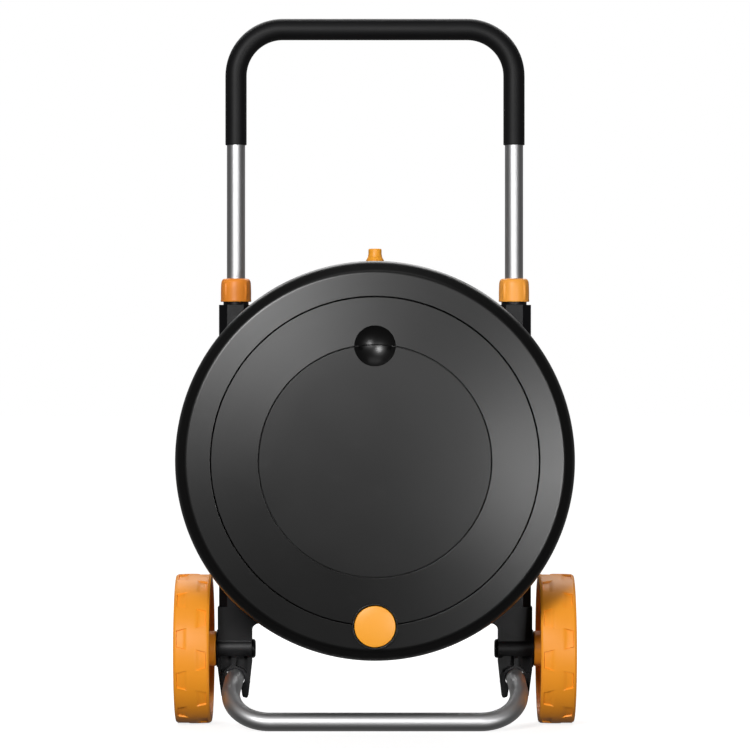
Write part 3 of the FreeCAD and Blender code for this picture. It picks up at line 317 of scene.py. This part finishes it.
def softened(node, width, material, name, body="frame"):
    """A moulding with its doubles merged and its sharp edges rounded off."""
    bpy.ops.object.select_all(action="DESELECT")
    piece = bpy.data.objects.new(name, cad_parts[node].data.copy())
    bpy.context.scene.collection.objects.link(piece)
    bpy.context.view_layer.objects.active = piece
    piece.select_set(True)
    bpy.ops.object.mode_set(mode="EDIT")
    bpy.ops.mesh.select_all(action="SELECT")
    bpy.ops.mesh.remove_doubles(threshold=0.00002)
    bpy.ops.mesh.dissolve_limited(angle_limit=math.radians(0.5))
    bpy.ops.object.mode_set(mode="OBJECT")
    round_edges(piece, width, 38)
    shade_flat_faces(piece, 32)
    piece.data.materials.clear()
    piece.data.materials.append(material)
    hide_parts(node)
    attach(piece, body)


frame_black = moulded_plastic("frame_black", (0.0040, 0.0040, 0.0046), (0.02, 0.02, 0.022),
                              0.36, 0.16, 0.25, 0.3, 0.35, 0.08, 0.22)
for side in ("left", "right"):
    softened(f"upright_{side}", 0.0012, frame_black, f"moulded_upright_{side}")
    softened(f"axle_bracket_{side}", 0.0009, frame_black, f"moulded_bracket_{side}")
    softened(f"collet_{side}", 0.0004, frame_black, f"moulded_collet_{side}")
for node in ("lower_crossbar", "upper_crossbar", "hub_carrier", "inlet_elbow", "inlet_fitting",
             "supply_pipe"):
    softened(node, 0.0008, frame_black, f"moulded_{node}")

cart_sides = (("left", -1), ("right", 1))

# The clip's two jaws reach round the foot's tube to just under its middle, so that it snaps in.
tube_radius = 0.0125
foot_arm = 0.1915
clip_height = 0.0625
jaw_inside = 0.0133
jaw_reach = math.radians(48)
jaw_steps = 12
bracket_half_depth = 0.0178
jaw_angles = [jaw_reach * step / jaw_steps for step in range(jaw_steps + 1)]
jaw_outline = [(jaw_inside * math.cos(angle), -jaw_inside * math.sin(angle)) for angle in jaw_angles]
jaw_outline += [
    (0.0086, -0.0125), (0.0098, -0.0225), (0.0112, -0.0255), (0.0140, -0.0262), (0.0152, -0.0245),
    (0.0165, -0.0160), (0.0165, 0.0),
]
for side, sign in cart_sides:
    for jaw, way in (("inner", -sign), ("outer", sign)):
        bpy.ops.object.select_all(action="DESELECT")
        bpy.ops.mesh.primitive_circle_add(vertices=len(jaw_outline), fill_type="NGON")
        piece = bpy.context.object
        piece.name = f"clip_jaw_{jaw}_{side}"
        for vertex, (x, z) in zip(piece.data.vertices, jaw_outline):
            across = sign * foot_arm + way * x
            vertex.co = (across, upright_y - bracket_half_depth, clip_height + z)
        bpy.ops.object.mode_set(mode="EDIT")
        bpy.ops.mesh.select_all(action="SELECT")
        bpy.ops.mesh.extrude_region_move(TRANSFORM_OT_translate={"value": (0, bracket_half_depth * 2, 0)})
        bpy.ops.mesh.select_all(action="SELECT")
        bpy.ops.mesh.normals_make_consistent(inside=False)
        bpy.ops.object.mode_set(mode="OBJECT")
        round_edges(piece, 0.0006, 35)
        bpy.ops.object.shade_smooth_by_angle(angle=math.radians(32))
        piece.data.materials.append(frame_black)
        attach(piece, "frame")


# Plain hardware and hidden pieces: zinc-plated screws, pins and washers, and natural grey bushes.
# They keep the shape they have.
def dress(node, material):
    """Gives a piece that keeps its shape its real finish."""
    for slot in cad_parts[node].material_slots:
        slot.material = material


def zinc_plate():
    """Bright zinc plate, a little dull where it has been handled."""
    material = bpy.data.materials.new("zinc_plate")
    material.use_nodes = True
    nodes = material.node_tree.nodes
    links = material.node_tree.links
    shader = nodes["Principled BSDF"]
    shader.inputs["Metallic"].default_value = 1.0
    marks = nodes.new("ShaderNodeGroup")
    marks.node_tree = handling_marks
    marks.inputs["Clean"].default_value = (0.55, 0.56, 0.56, 1)
    marks.inputs["Worn"].default_value = (0.36, 0.34, 0.30, 1)
    marks.inputs["Roughness"].default_value = 0.3
    marks.inputs["Patches"].default_value = 0.35
    marks.inputs["Scratches"].default_value = 0.4
    surface = nodes.new("ShaderNodeGroup")
    surface.node_tree = moulded_grain
    surface.inputs["Grain Height"].default_value = 0.3
    links.new(marks.outputs["Color"], shader.inputs["Base Color"])
    links.new(marks.outputs["Roughness"], shader.inputs["Roughness"])
    links.new(surface.outputs["Normal"], shader.inputs["Normal"])
    return material


zinc = zinc_plate()
for node in ("hub_spindle", "spindle_nut", "spindle_washer", "spindle_screw", "axle_clip_left",
             "axle_clip_right", "foot_pivot_pins", "crossbar_screws", "carrier_screws", "drum_screws",
             "crank_washer", "crank_screw"):
    dress(node, zinc)
natural_grey = moulded_plastic("natural_grey", (0.26, 0.27, 0.28), (0.2, 0.2, 0.2),
                               0.42, 0.3, 0.2, 0.2, 0.2, 0.1)
for node in ("hub_bush_front", "hub_bush_rear", "rotary_outlet", "hose_connector", "crank_post",
             "crank_sleeve", "wheel_bush_left", "wheel_bush_right"):
    dress(node, natural_grey)
for node in ("axle_pin_left", "axle_pin_right", "axle_washer_left", "axle_washer_right", "foot_plugs",
             "handle_glide_left", "handle_glide_right", "wheel_cap_left", "wheel_cap_right"):
    dress(node, frame_black)


# Handle and foot: drawn aluminium tube with a satin anodised skin, bent on a mandrel.
# A black rubber-like grip is pushed over the handle's top, and its two ends are rounded.
def drawn_aluminium():
    """Satin anodised tube with faint drawing lines along it."""
    material = bpy.data.materials.new("drawn_aluminium")
    material.use_nodes = True
    nodes = material.node_tree.nodes
    links = material.node_tree.links
    shader = nodes["Principled BSDF"]
    shader.inputs["Metallic"].default_value = 1.0
    marks = nodes.new("ShaderNodeGroup")
    marks.node_tree = handling_marks
    marks.inputs["Clean"].default_value = (0.55, 0.55, 0.555, 1)
    marks.inputs["Worn"].default_value = (0.42, 0.42, 0.43, 1)
    marks.inputs["Roughness"].default_value = 0.47
    marks.inputs["Patches"].default_value = 0.08
    marks.inputs["Scratches"].default_value = 0.08
    marks.inputs["Edges"].default_value = 0.0
    place = nodes.new("ShaderNodeUVMap")
    place.uv_map = "along_tube"
    stretch = nodes.new("ShaderNodeMapping")
    stretch.inputs["Scale"].default_value = (260, 1.2, 1)
    lines = nodes.new("ShaderNodeTexNoise")
    lines.inputs["Scale"].default_value = 1.0
    lines.inputs["Detail"].default_value = 3.0
    bump = nodes.new("ShaderNodeBump")
    bump.inputs["Strength"].default_value = 0.05
    bump.inputs["Distance"].default_value = 0.0003
    links.new(place.outputs["UV"], stretch.inputs["Vector"])
    links.new(stretch.outputs["Vector"], lines.inputs["Vector"])
    links.new(lines.outputs["Fac"], bump.inputs["Height"])
    links.new(marks.outputs["Color"], shader.inputs["Base Color"])
    links.new(marks.outputs["Roughness"], shader.inputs["Roughness"])
    links.new(bump.outputs["Normal"], shader.inputs["Normal"])
    return material


def bent_bar(name, corners, bends, radius, sides=48, arc_steps=20):
    """A round bar grown from one ring: pushed along each straight run and spun round each bend."""
    corners = [Vector(corner) for corner in corners]
    ways = [(b - a).normalized() for a, b in zip(corners, corners[1:])]
    bpy.ops.object.select_all(action="DESELECT")
    turn = ways[0].to_track_quat("Z", "Y").to_euler()
    bpy.ops.mesh.primitive_circle_add(vertices=sides, radius=radius, location=corners[0], rotation=turn)
    bar = bpy.context.object
    bar.name = name
    bpy.ops.object.transform_apply(location=True, rotation=True, scale=True)
    bpy.ops.object.mode_set(mode="EDIT")
    bpy.ops.mesh.select_all(action="SELECT")
    here = corners[0]
    for corner, bend, way, next_way in zip(corners[1:], bends, ways, ways[1:]):
        angle = way.angle(next_way)
        start = corner - way * (bend * math.tan(angle / 2))
        axis = way.cross(next_way).normalized()
        centre = start + axis.cross(way) * bend
        bpy.ops.mesh.extrude_region_move(TRANSFORM_OT_translate={"value": start - here})
        bpy.ops.mesh.spin(steps=arc_steps, angle=-angle, center=centre, axis=axis)
        here = corner + next_way * (bend * math.tan(angle / 2))
    bpy.ops.mesh.extrude_region_move(TRANSFORM_OT_translate={"value": corners[-1] - here})
    bpy.ops.mesh.select_all(action="SELECT")
    bpy.ops.mesh.remove_doubles(threshold=0.00001)
    bpy.ops.mesh.normals_make_consistent(inside=False)
    bpy.ops.object.mode_set(mode="OBJECT")
    return bar


def finish_piece(piece, material, body, nodes, smooth=35):
    """Smooths a piece, gives it its material and ties it to its place in the cart."""
    bpy.ops.object.select_all(action="DESELECT")
    bpy.context.view_layer.objects.active = piece
    piece.select_set(True)
    shade_flat_faces(piece, smooth)
    piece.data.materials.clear()
    piece.data.materials.append(material)
    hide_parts(*nodes)
    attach(piece, body)


def thicken(piece, wall, rim):
    """Turns a skin into a wall that stays inside the skin, with its rims rounded."""
    bpy.ops.object.select_all(action="DESELECT")
    bpy.context.view_layer.objects.active = piece
    piece.select_set(True)
    shell = piece.modifiers.new("wall", "SOLIDIFY")
    shell.thickness = wall
    shell.offset = -1.0
    bpy.ops.object.modifier_apply(modifier=shell.name)
    round_edges(piece, rim, 50, "rim")


def unroll_tube(piece):
    """A UV map with the way round the tube across it and its length along it."""
    uv = piece.data.uv_layers.new(name="along_tube")
    for loop in piece.data.loops:
        point = piece.data.vertices[loop.vertex_index].co
        normal = piece.data.vertices[loop.vertex_index].normal
        around = math.atan2(normal.y, abs(normal.x) + abs(normal.z))
        uv.data[loop.index].uv = (around, point.z + abs(point.x))


tube_low, tube_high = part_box("handle_tube")
grip_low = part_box("handle_grip")[0]
grip_radius = 0.0146
bend_radius = 0.064
tube_wall = 0.0015
tube_rim = 0.0003
tube_half = tube_high.x - tube_radius
tube_top = tube_high.z - tube_radius
aluminium = drawn_aluminium()
grip_rubber = moulded_plastic("grip_rubber", (0.0040, 0.0040, 0.0044), (0.014, 0.014, 0.015),
                              0.5, 0.2, 0.12, 0.15, 0.25, 0.12, 0.22)


def handle_run(bottom):
    """The corners of a bar that runs up one side, across the top and down to the same height."""
    return [
        (-tube_half, upright_y, bottom),
        (-tube_half, upright_y, tube_top),
        (tube_half, upright_y, tube_top),
        (tube_half, upright_y, bottom),
    ]


handle = bent_bar("drawn_handle_tube", handle_run(tube_low.z), (bend_radius, bend_radius), tube_radius)
thicken(handle, tube_wall, tube_rim)
unroll_tube(handle)
finish_piece(handle, aluminium, "handle", ["handle_tube"])

grip = bent_bar("rubber_handle_grip", handle_run(grip_low.z), (bend_radius, bend_radius), grip_radius)
thicken(grip, 0.00195, 0.0012)
finish_piece(grip, grip_rubber, "handle", ["handle_grip"])

foot_corner = 0.202
foot_back = upright_y + 0.052
foot_bend = upright_y - 0.065
foot_front = upright_y - 0.125
foot_run = [
    (foot_arm, foot_back, clip_height),
    (foot_arm, foot_bend, clip_height),
    (foot_corner, foot_front, tube_radius),
    (-foot_corner, foot_front, tube_radius),
    (-foot_arm, foot_bend, clip_height),
    (-foot_arm, foot_back, clip_height),
]
foot = bent_bar("drawn_foot_tube", foot_run, (0.060, 0.053, 0.053, 0.060), tube_radius)
thicken(foot, tube_wall, tube_rim)
unroll_tube(foot)
finish_piece(foot, aluminium, "foot", ["foot_tube"])


# Twist collars: orange polypropylene nuts that squeeze the collets on to the handle tubes.
# Four soft upright ribs stand on each, and the shoulder is well rounded.
def grow_rings(name, outline, sides):
    """A round skin about Z: one ring, then each further (radius, height) grown from the last."""
    bpy.ops.object.select_all(action="DESELECT")
    first_radius, first_height = outline[0]
    bpy.ops.mesh.primitive_circle_add(vertices=sides, radius=first_radius, location=(0, 0, first_height))
    piece = bpy.context.object
    piece.name = name
    bpy.ops.object.transform_apply(location=True, rotation=True, scale=True)
    bpy.ops.object.mode_set(mode="EDIT")
    bpy.ops.mesh.select_all(action="SELECT")
    for (radius, height), (next_radius, next_height) in zip(outline, outline[1:]):
        rise = (0, 0, next_height - height)
        bpy.ops.mesh.extrude_region_move(TRANSFORM_OT_translate={"value": rise})
        share = next_radius / radius
        bpy.ops.transform.resize(value=(share, share, 1), center_override=(0, 0, next_height))
    bpy.ops.object.mode_set(mode="OBJECT")
    return piece


def close_rings(piece, ends="bridge"):
    """Joins the first and last ring, or welds each end ring to a point, and turns the faces outwards."""
    bpy.context.view_layer.objects.active = piece
    bpy.ops.object.mode_set(mode="EDIT")
    bpy.ops.mesh.select_all(action="SELECT")
    bpy.ops.mesh.remove_doubles(threshold=0.000005)
    if ends == "bridge":
        bpy.ops.mesh.select_all(action="DESELECT")
        bpy.ops.mesh.select_non_manifold()
        bpy.ops.mesh.bridge_edge_loops()
    bpy.ops.mesh.select_all(action="SELECT")
    bpy.ops.mesh.normals_make_consistent(inside=False)
    bpy.ops.object.mode_set(mode="OBJECT")


def stand(piece, place, turn=(0, 0, 0)):
    """Puts a finished piece at its place and leaves its object at the origin."""
    bpy.ops.object.select_all(action="DESELECT")
    bpy.context.view_layer.objects.active = piece
    piece.select_set(True)
    piece.rotation_euler = turn
    piece.location = place
    bpy.ops.object.transform_apply(location=True, rotation=True, scale=True)


collar_sides = 192
collar_inside = 0.0170
rib_spacing = 90
rib_half_width = 7.0
rib_height = 0.0012
rib_skin = 0.0195
rib_bottom = 0.0040
rib_top = 0.0275
# Both collars are the same orange moulding. The left one's colours are painted darker and redder as
# painted shade, and the right one's lighter and yellower as painted light.
collar_colours_lit_and_shaded = {
    "left": ((1.0, 0.30, 0.026), (1.0, 0.4, 0.10)),
    "right": ((1.0, 0.39, 0.045), (1.0, 0.5, 0.16)),
}
for side, sign in cart_sides:
    collar_low, collar_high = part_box(f"collar_{side}")
    tall = collar_high.z - collar_low.z
    collar = grow_rings(f"twist_collar_{side}", [
        (collar_inside, 0.0), (0.0204, 0.0), (0.0210, 0.0008), (0.0210, 0.0026), (0.0207, 0.0032),
        (0.0208, 0.0120), (0.0206, 0.0200), (0.0204, 0.0245), (0.0199, 0.0275), (0.0188, 0.0300),
        (0.0172, 0.0313), (0.0155, tall), (0.0129, tall), (0.0129, tall - 0.006),
        (collar_inside, tall - 0.006),
    ], collar_sides)
    close_rings(collar)
    for vertex in collar.data.vertices:
        reach = math.hypot(vertex.co.x, vertex.co.y)
        if reach < rib_skin:
            continue
        angle = math.degrees(math.atan2(vertex.co.y, vertex.co.x))
        off = (angle % rib_spacing - rib_spacing / 2) / rib_half_width
        below = (vertex.co.z - rib_bottom) / 0.0025
        above = (rib_top - vertex.co.z) / 0.0045
        end = min(1.0, max(0.0, below)) * min(1.0, max(0.0, above))
        swell = rib_height * end * max(0.0, 1 - off ** 4)
        vertex.co.x *= (reach + swell) / reach
        vertex.co.y *= (reach + swell) / reach
    stand(collar, (sign * tube_half, upright_y, collar_low.z))
    # The left collar's material carries painted shade and the right collar's carries painted light.
    clean, worn = collar_colours_lit_and_shaded[side]
    collar_orange_with_painted_light = moulded_plastic(f"collar_orange_with_painted_light_{side}", clean, worn,
                                    0.38, 0.15, 0.15, 0.25, 0.2, 0.06, 0.35)
    finish_piece(collar, collar_orange_with_painted_light, f"collar_{side}", [f"collar_{side}"], 50)


# Wheels: moulded in one piece in orange polypropylene, hollow on both sides of a web with six windows.
# Two staggered rows of shallow recesses with slanted ends run round the tread, a lip outside each row.
def rounded_outline(corners, steps=6):
    """(radius, height) points where each corner with a third value is an arc of that radius."""
    outline = []
    for index, corner in enumerate(corners):
        here = Vector(corner[:2])
        if len(corner) == 2:
            outline.append(tuple(here))
            continue
        before = (Vector(corners[index - 1][:2]) - here).normalized()
        after = (Vector(corners[(index + 1) % len(corners)][:2]) - here).normalized()
        half = before.angle(after) / 2
        centre = here + (before + after).normalized() * (corner[2] / math.sin(half))
        start = here + before * (corner[2] / math.tan(half)) - centre
        stop = here + after * (corner[2] / math.tan(half)) - centre
        sweep = start.angle(stop)
        for step in range(steps + 1):
            share = step / steps
            spoke = start * math.sin((1 - share) * sweep) + stop * math.sin(share * sweep)
            outline.append(tuple(centre + spoke / math.sin(sweep)))
    return outline


def carve(piece, cutter, operation="DIFFERENCE"):
    """Cuts, joins or intersects a piece with another, which is used up."""
    bpy.ops.object.select_all(action="DESELECT")
    bpy.context.view_layer.objects.active = piece
    piece.select_set(True)
    step = piece.modifiers.new("carve", "BOOLEAN")
    step.operation = operation
    step.solver = "EXACT"
    step.object = cutter
    bpy.ops.object.modifier_apply(modifier=step.name)
    bpy.data.objects.remove(cutter)


def rod(radius, low, high, place=(0, 0, 0), turn=(0, 0, 0), sides=96):
    """A round cutter from one height to another, stood at its place."""
    cutter = grow_rings("cutter", [(radius, low), (radius, high)], sides)
    bpy.ops.object.mode_set(mode="EDIT")
    bpy.ops.mesh.select_all(action="DESELECT")
    bpy.ops.mesh.select_non_manifold()
    bpy.ops.mesh.edge_face_add()
    bpy.ops.mesh.select_all(action="SELECT")
    bpy.ops.mesh.normals_make_consistent(inside=False)
    bpy.ops.object.mode_set(mode="OBJECT")
    stand(cutter, place, turn)
    return cutter


wheel_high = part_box("wheel_right")[1]
wheel_radius = wheel_high.z / 2
wheel_face = 0.2235
wheel_width = wheel_high.x - wheel_face
rim_inside = wheel_radius - 0.011
hub_radius = 0.0243
bore_radius = 0.00815
web_front = 0.021
web_back = 0.027
hub_end = 0.046
crown_drop = 0.0007
windows = 6
window_radius = 0.017
window_circle = 0.057
blocks = 22
columns = 12
block_end = 0.014
row_width = 0.0185
tread_depth = 0.0021
tread_turn = 0.318
slant = 0.17
wheel_orange = moulded_plastic("wheel_orange", (1.0, 0.355, 0.022), (0.86, 0.28, 0.025),
                               0.42, 0.2, 0.2, 0.25, 0.4, 0.1, 0.35)
across_tread = [0.0042, 0.0046, 0.0049, 0.0070, 0.0095, 0.0120, 0.0140, 0.0160, 0.0180, 0.0210]
across_tread += [wheel_width - width for width in reversed(across_tread)]


def recess(width):
    """How deep the tread is cut at this distance from the wheel's inner side, from 0 to 1."""
    from_side = min(width, wheel_width - width)
    return max(0.0, min(1.0, (from_side - 0.0044) / 0.0003, (row_width - from_side) / 0.0050))


def cut_tread(wheel, phase):
    """Bunches the columns at the blocks' ends, slants them, and sinks every other block."""
    total = blocks * columns
    for vertex in wheel.data.vertices:
        radius = math.hypot(vertex.co.x, vertex.co.y)
        if radius < wheel_radius - 0.0032:
            continue
        column = round(math.atan2(vertex.co.y, vertex.co.x) / math.tau * total) % total
        block, step = divmod(column, columns)
        if step < 2:
            along = block + (-block_end if step == 0 else block_end)
        else:
            along = block + (step - 1) / (columns - 1)
        width = vertex.co.z
        row = 0 if width < wheel_width / 2 else 1
        sunk = (block + row + (1 if step == 0 else 0)) % 2 == 0
        depth = recess(width)
        from_side = min(width, wheel_width - width)
        lean = slant * max(0.0, 1 - from_side / row_width) * (-1 if row else 1)
        along += lean * math.cos(math.pi * along)
        radius -= tread_depth * depth if sunk else 0.0
        angle = (along + phase) / blocks * math.tau
        vertex.co.x = radius * math.cos(angle)
        vertex.co.y = radius * math.sin(angle)


for side, sign in cart_sides:
    crown = [
        (wheel_radius - crown_drop * ((width / wheel_width - 0.5) * 2) ** 2, width)
        for width in across_tread
    ]
    outline = rounded_outline([
        (bore_radius, -0.0062, 0.0006), (hub_radius, -0.0062, 0.0022),
        (hub_radius - 0.0006, web_front, 0.003), (rim_inside - 0.002, web_front, 0.003),
        (rim_inside, 0.0, 0.0012), (wheel_radius - 0.0025, 0.0, 0.0016),
        (wheel_radius - crown_drop, 0.0030, 0.0015), *crown,
        (wheel_radius - crown_drop, wheel_width - 0.0030, 0.0015),
        (wheel_radius - 0.0025, wheel_width, 0.0016), (rim_inside, wheel_width, 0.0012),
        (rim_inside - 0.002, web_back, 0.003), (hub_radius - 0.0006, web_back, 0.003),
        (hub_radius, hub_end, 0.001), (0.016, hub_end, 0.0006), (0.016, 0.038), (bore_radius, 0.038),
    ], 4)
    wheel = grow_rings(f"moulded_wheel_{side}", outline, blocks * columns)
    close_rings(wheel)
    cut_tread(wheel, tread_turn * sign)
    for window in range(windows):
        angle = math.radians(360 / windows * window)
        place = (window_circle * math.cos(angle), window_circle * math.sin(angle), 0)
        carve(wheel, rod(window_radius, 0.010, 0.040, place, sides=48))
    stand(wheel, (sign * wheel_face, upright_y, wheel_radius), (0, math.radians(90 * sign), 0))
    finish_piece(wheel, wheel_orange, f"wheel_{side}", [f"wheel_{side}"], 28)


# Drum: two dished black polypropylene shells with a slot between them for the hose. The front is a
# rim shell, a slightly conical ring panel and a crowned centre cover, with fine seams between them.
def on_drum(piece, height=None):
    """Turns a round piece made about Z so that its heights run forward from the uprights' plane."""
    stand(piece, (0, upright_y, height or drum_height), (math.radians(90), 0, 0))


drum_height = 0.363
drum_radius = (drum_high.x - drum_low.x) / 2
drum_front = upright_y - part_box("center_cover")[0].y
inner_seam = 0.154
outer_seam = 0.2176
half_gap = 0.0006
shoulder = 0.2515
wall = 0.0032
drum_sides = 288
slot_front = 0.097
slot_back = 0.062
flange_front = 0.123
axis = 0.000001
crank_offset = 0.2185
knob_radius = 0.0273
bowl_height = drum_height + inner_seam
bowl_radius = 0.040
bowl_skin = 0.0026
bowl_forward = drum_front - 0.003 - 0.011 + bowl_radius
bowl_place = (0, upright_y - bowl_forward, bowl_height)
drum_black = moulded_plastic("drum_black", (0.0037, 0.0036, 0.0036), (0.011, 0.011, 0.011),
                             0.31, 0.06, 0.05, 0.08, 0.10, 0.02, 0.43)


def drum_ring(name, corners, steps=6):
    """A closed ring from (radius, forward distance) corners, stood on the drum's axis."""
    ring = grow_rings(name, rounded_outline(corners, steps), drum_sides)
    close_rings(ring)
    on_drum(ring)
    return ring


def drum_disc(name, corners):
    """A closed disc from corners that start and end on the axis."""
    disc = grow_rings(name, rounded_outline(corners), drum_sides)
    close_rings(disc, "weld")
    on_drum(disc)
    return disc


def knob_way():
    """The cutter for the hole that the crank knob sits in."""
    return rod(knob_radius + 0.0035, flange_front, drum_front + 0.02,
               (0, upright_y, drum_height - crank_offset), (math.radians(90), 0, 0), 128)


def bowl_ball(extra):
    """The ball that the finger bowl is hollowed with, larger by an extra."""
    bpy.ops.object.select_all(action="DESELECT")
    bpy.ops.mesh.primitive_uv_sphere_add(segments=128, ring_count=96, radius=bowl_radius + extra,
                                         location=bowl_place)
    bpy.ops.object.transform_apply(location=True, rotation=True, scale=True)
    return bpy.context.object


def bowl_wall(top, inside):
    """The bowl's wall on one side of the inner seam, cut off level under the panel's face."""
    ball = bowl_ball(bowl_skin)
    level = rod(0.12, drum_front - 0.020, top,
                (0, upright_y, bowl_height), (math.radians(90), 0, 0), 64)
    carve(ball, level, "INTERSECT")
    seam = inner_seam + (-half_gap if inside else half_gap)
    seam_rod = rod(seam, drum_front - 0.05, drum_front + 0.05, (0, upright_y, drum_height),
                   (math.radians(90), 0, 0), drum_sides)
    carve(ball, seam_rod, "INTERSECT" if inside else "DIFFERENCE")
    return ball


rim = drum_ring("drum_rim_shell", [
    (drum_radius - wall, slot_front, 0.0012), (drum_radius, slot_front, 0.0012),
    (drum_radius, drum_front - 0.0220, 0.0165), (shoulder, drum_front - 0.0098, 0.010),
    (outer_seam + half_gap, drum_front - 0.0073, 0.0007), (outer_seam + half_gap, drum_front - 0.0105),
    (shoulder - 0.0012, drum_front - 0.0130, 0.006), (drum_radius - wall, drum_front - 0.0242, 0.0135),
    (drum_radius - wall, flange_front + 0.0032), (drum_radius - 0.015, flange_front + 0.0032),
    (drum_radius - 0.015, flange_front + 0.0002), (drum_radius - wall, flange_front + 0.0002),
], 12)
carve(rim, knob_way())
finish_piece(rim, drum_black, "drum", ["rim_shell"], 25)

panel = drum_ring("drum_ring_panel", [
    (inner_seam + half_gap, drum_front - 0.003, 0.0006),
    (outer_seam - half_gap, drum_front - 0.0073, 0.0007),
    (outer_seam - half_gap, drum_front - 0.0105), (inner_seam + 0.0072, drum_front - 0.0068),
    (inner_seam + 0.0072, flange_front + 0.0002), (inner_seam + 0.004, flange_front + 0.0002),
    (inner_seam + 0.004, drum_front - 0.0102), (inner_seam - 0.006, drum_front - 0.0102),
    (inner_seam - 0.006, drum_front - 0.0072), (inner_seam + half_gap, drum_front - 0.0072),
])
carve(panel, bowl_wall(drum_front - 0.0058, False), "UNION")
carve(panel, bowl_ball(0))
carve(panel, knob_way())
finish_piece(panel, drum_black, "drum", ["front_ring_panel"], 25)

cover_edge = inner_seam - half_gap
crown = [(cover_edge * share, drum_front - 0.0028 * share ** 2) for share in (0.2, 0.4, 0.6, 0.8, 0.9)]
cover = drum_disc("drum_center_cover", [
    (axis, drum_front), *crown,
    (cover_edge, drum_front - 0.0028, 0.0006), (cover_edge, drum_front - 0.006),
    (inner_seam - 0.0072, drum_front - 0.006), (inner_seam - 0.0072, drum_front - 0.016),
    (inner_seam - 0.010, drum_front - 0.016), (inner_seam - 0.010, drum_front - 0.0058),
    (axis, drum_front - 0.0032),
])
carve(cover, bowl_wall(drum_front - 0.0036, True), "UNION")
carve(cover, bowl_ball(0))
finish_piece(cover, drum_black, "center_cover", ["center_cover"], 25)

rear = drum_ring("drum_rear_shell", [
    (0.0181, 0.031), (drum_radius, 0.031, 0.027), (drum_radius, slot_back, 0.0012),
    (drum_radius - wall, slot_back, 0.0012), (drum_radius - wall, 0.031 + wall, 0.027 - wall),
    (0.024, 0.031 + wall, 0.0015), (0.024, 0.052, 0.0005), (0.0181, 0.052, 0.0005),
], 12)
finish_piece(rear, drum_black, "drum", ["rear_shell"], 25)

for node in ("front_flange", "spool_core", "crank_cup"):
    softened(node, 0.0005, drum_black, f"moulded_{node}", "drum")
dress("outlet_seals", grip_rubber)


# Crank knob: an orange cap with a crowned face and a rounded rim on a thick-walled orange grip that
# turns on its sleeve. The nose of the water inlet behind the drum is moulded in the same orange.
accent_orange = moulded_plastic("accent_orange", (1.0, 0.40, 0.028), (1.0, 0.5, 0.12),
                                0.36, 0.10, 0.10, 0.2, 0.15, 0.05, 0.35)
knob_height = drum_height - crank_offset
cap_crown = [
    (knob_radius * share, drum_front - 0.0006 - 0.0018 * share ** 2.4) for share in (0.2, 0.4, 0.6, 0.8)
]
cap = grow_rings("knob_cap", rounded_outline([
    (axis, drum_front - 0.0006), *cap_crown, (knob_radius, drum_front - 0.0026, 0.0013),
    (knob_radius, drum_front - 0.0063, 0.0003), (0.006, drum_front - 0.0063), (0.006, 0.1954),
    (axis, 0.1954),
], 8), 160)
close_rings(cap, "weld")
on_drum(cap, knob_height)
finish_piece(cap, accent_orange, "crank_knob", ["crank_cap"], 30)

grip_body = grow_rings("knob_grip", rounded_outline([
    (0.0121, 0.134), (0.016, 0.134, 0.0005), (0.016, 0.188), (knob_radius - 0.003, 0.188),
    (knob_radius - 0.003, 0.140, 0.0005), (knob_radius, 0.140, 0.0012),
    (knob_radius, drum_front - 0.0065, 0.0003), (0.0148, drum_front - 0.0065), (0.0148, 0.1915),
    (0.0121, 0.1915),
], 4), 160)
close_rings(grip_body)
on_drum(grip_body, knob_height)
finish_piece(grip_body, accent_orange, "crank_knob", ["crank_grip"], 30)

softened("inlet_nipple", 0.0004, accent_orange, "moulded_inlet_nipple", "frame")
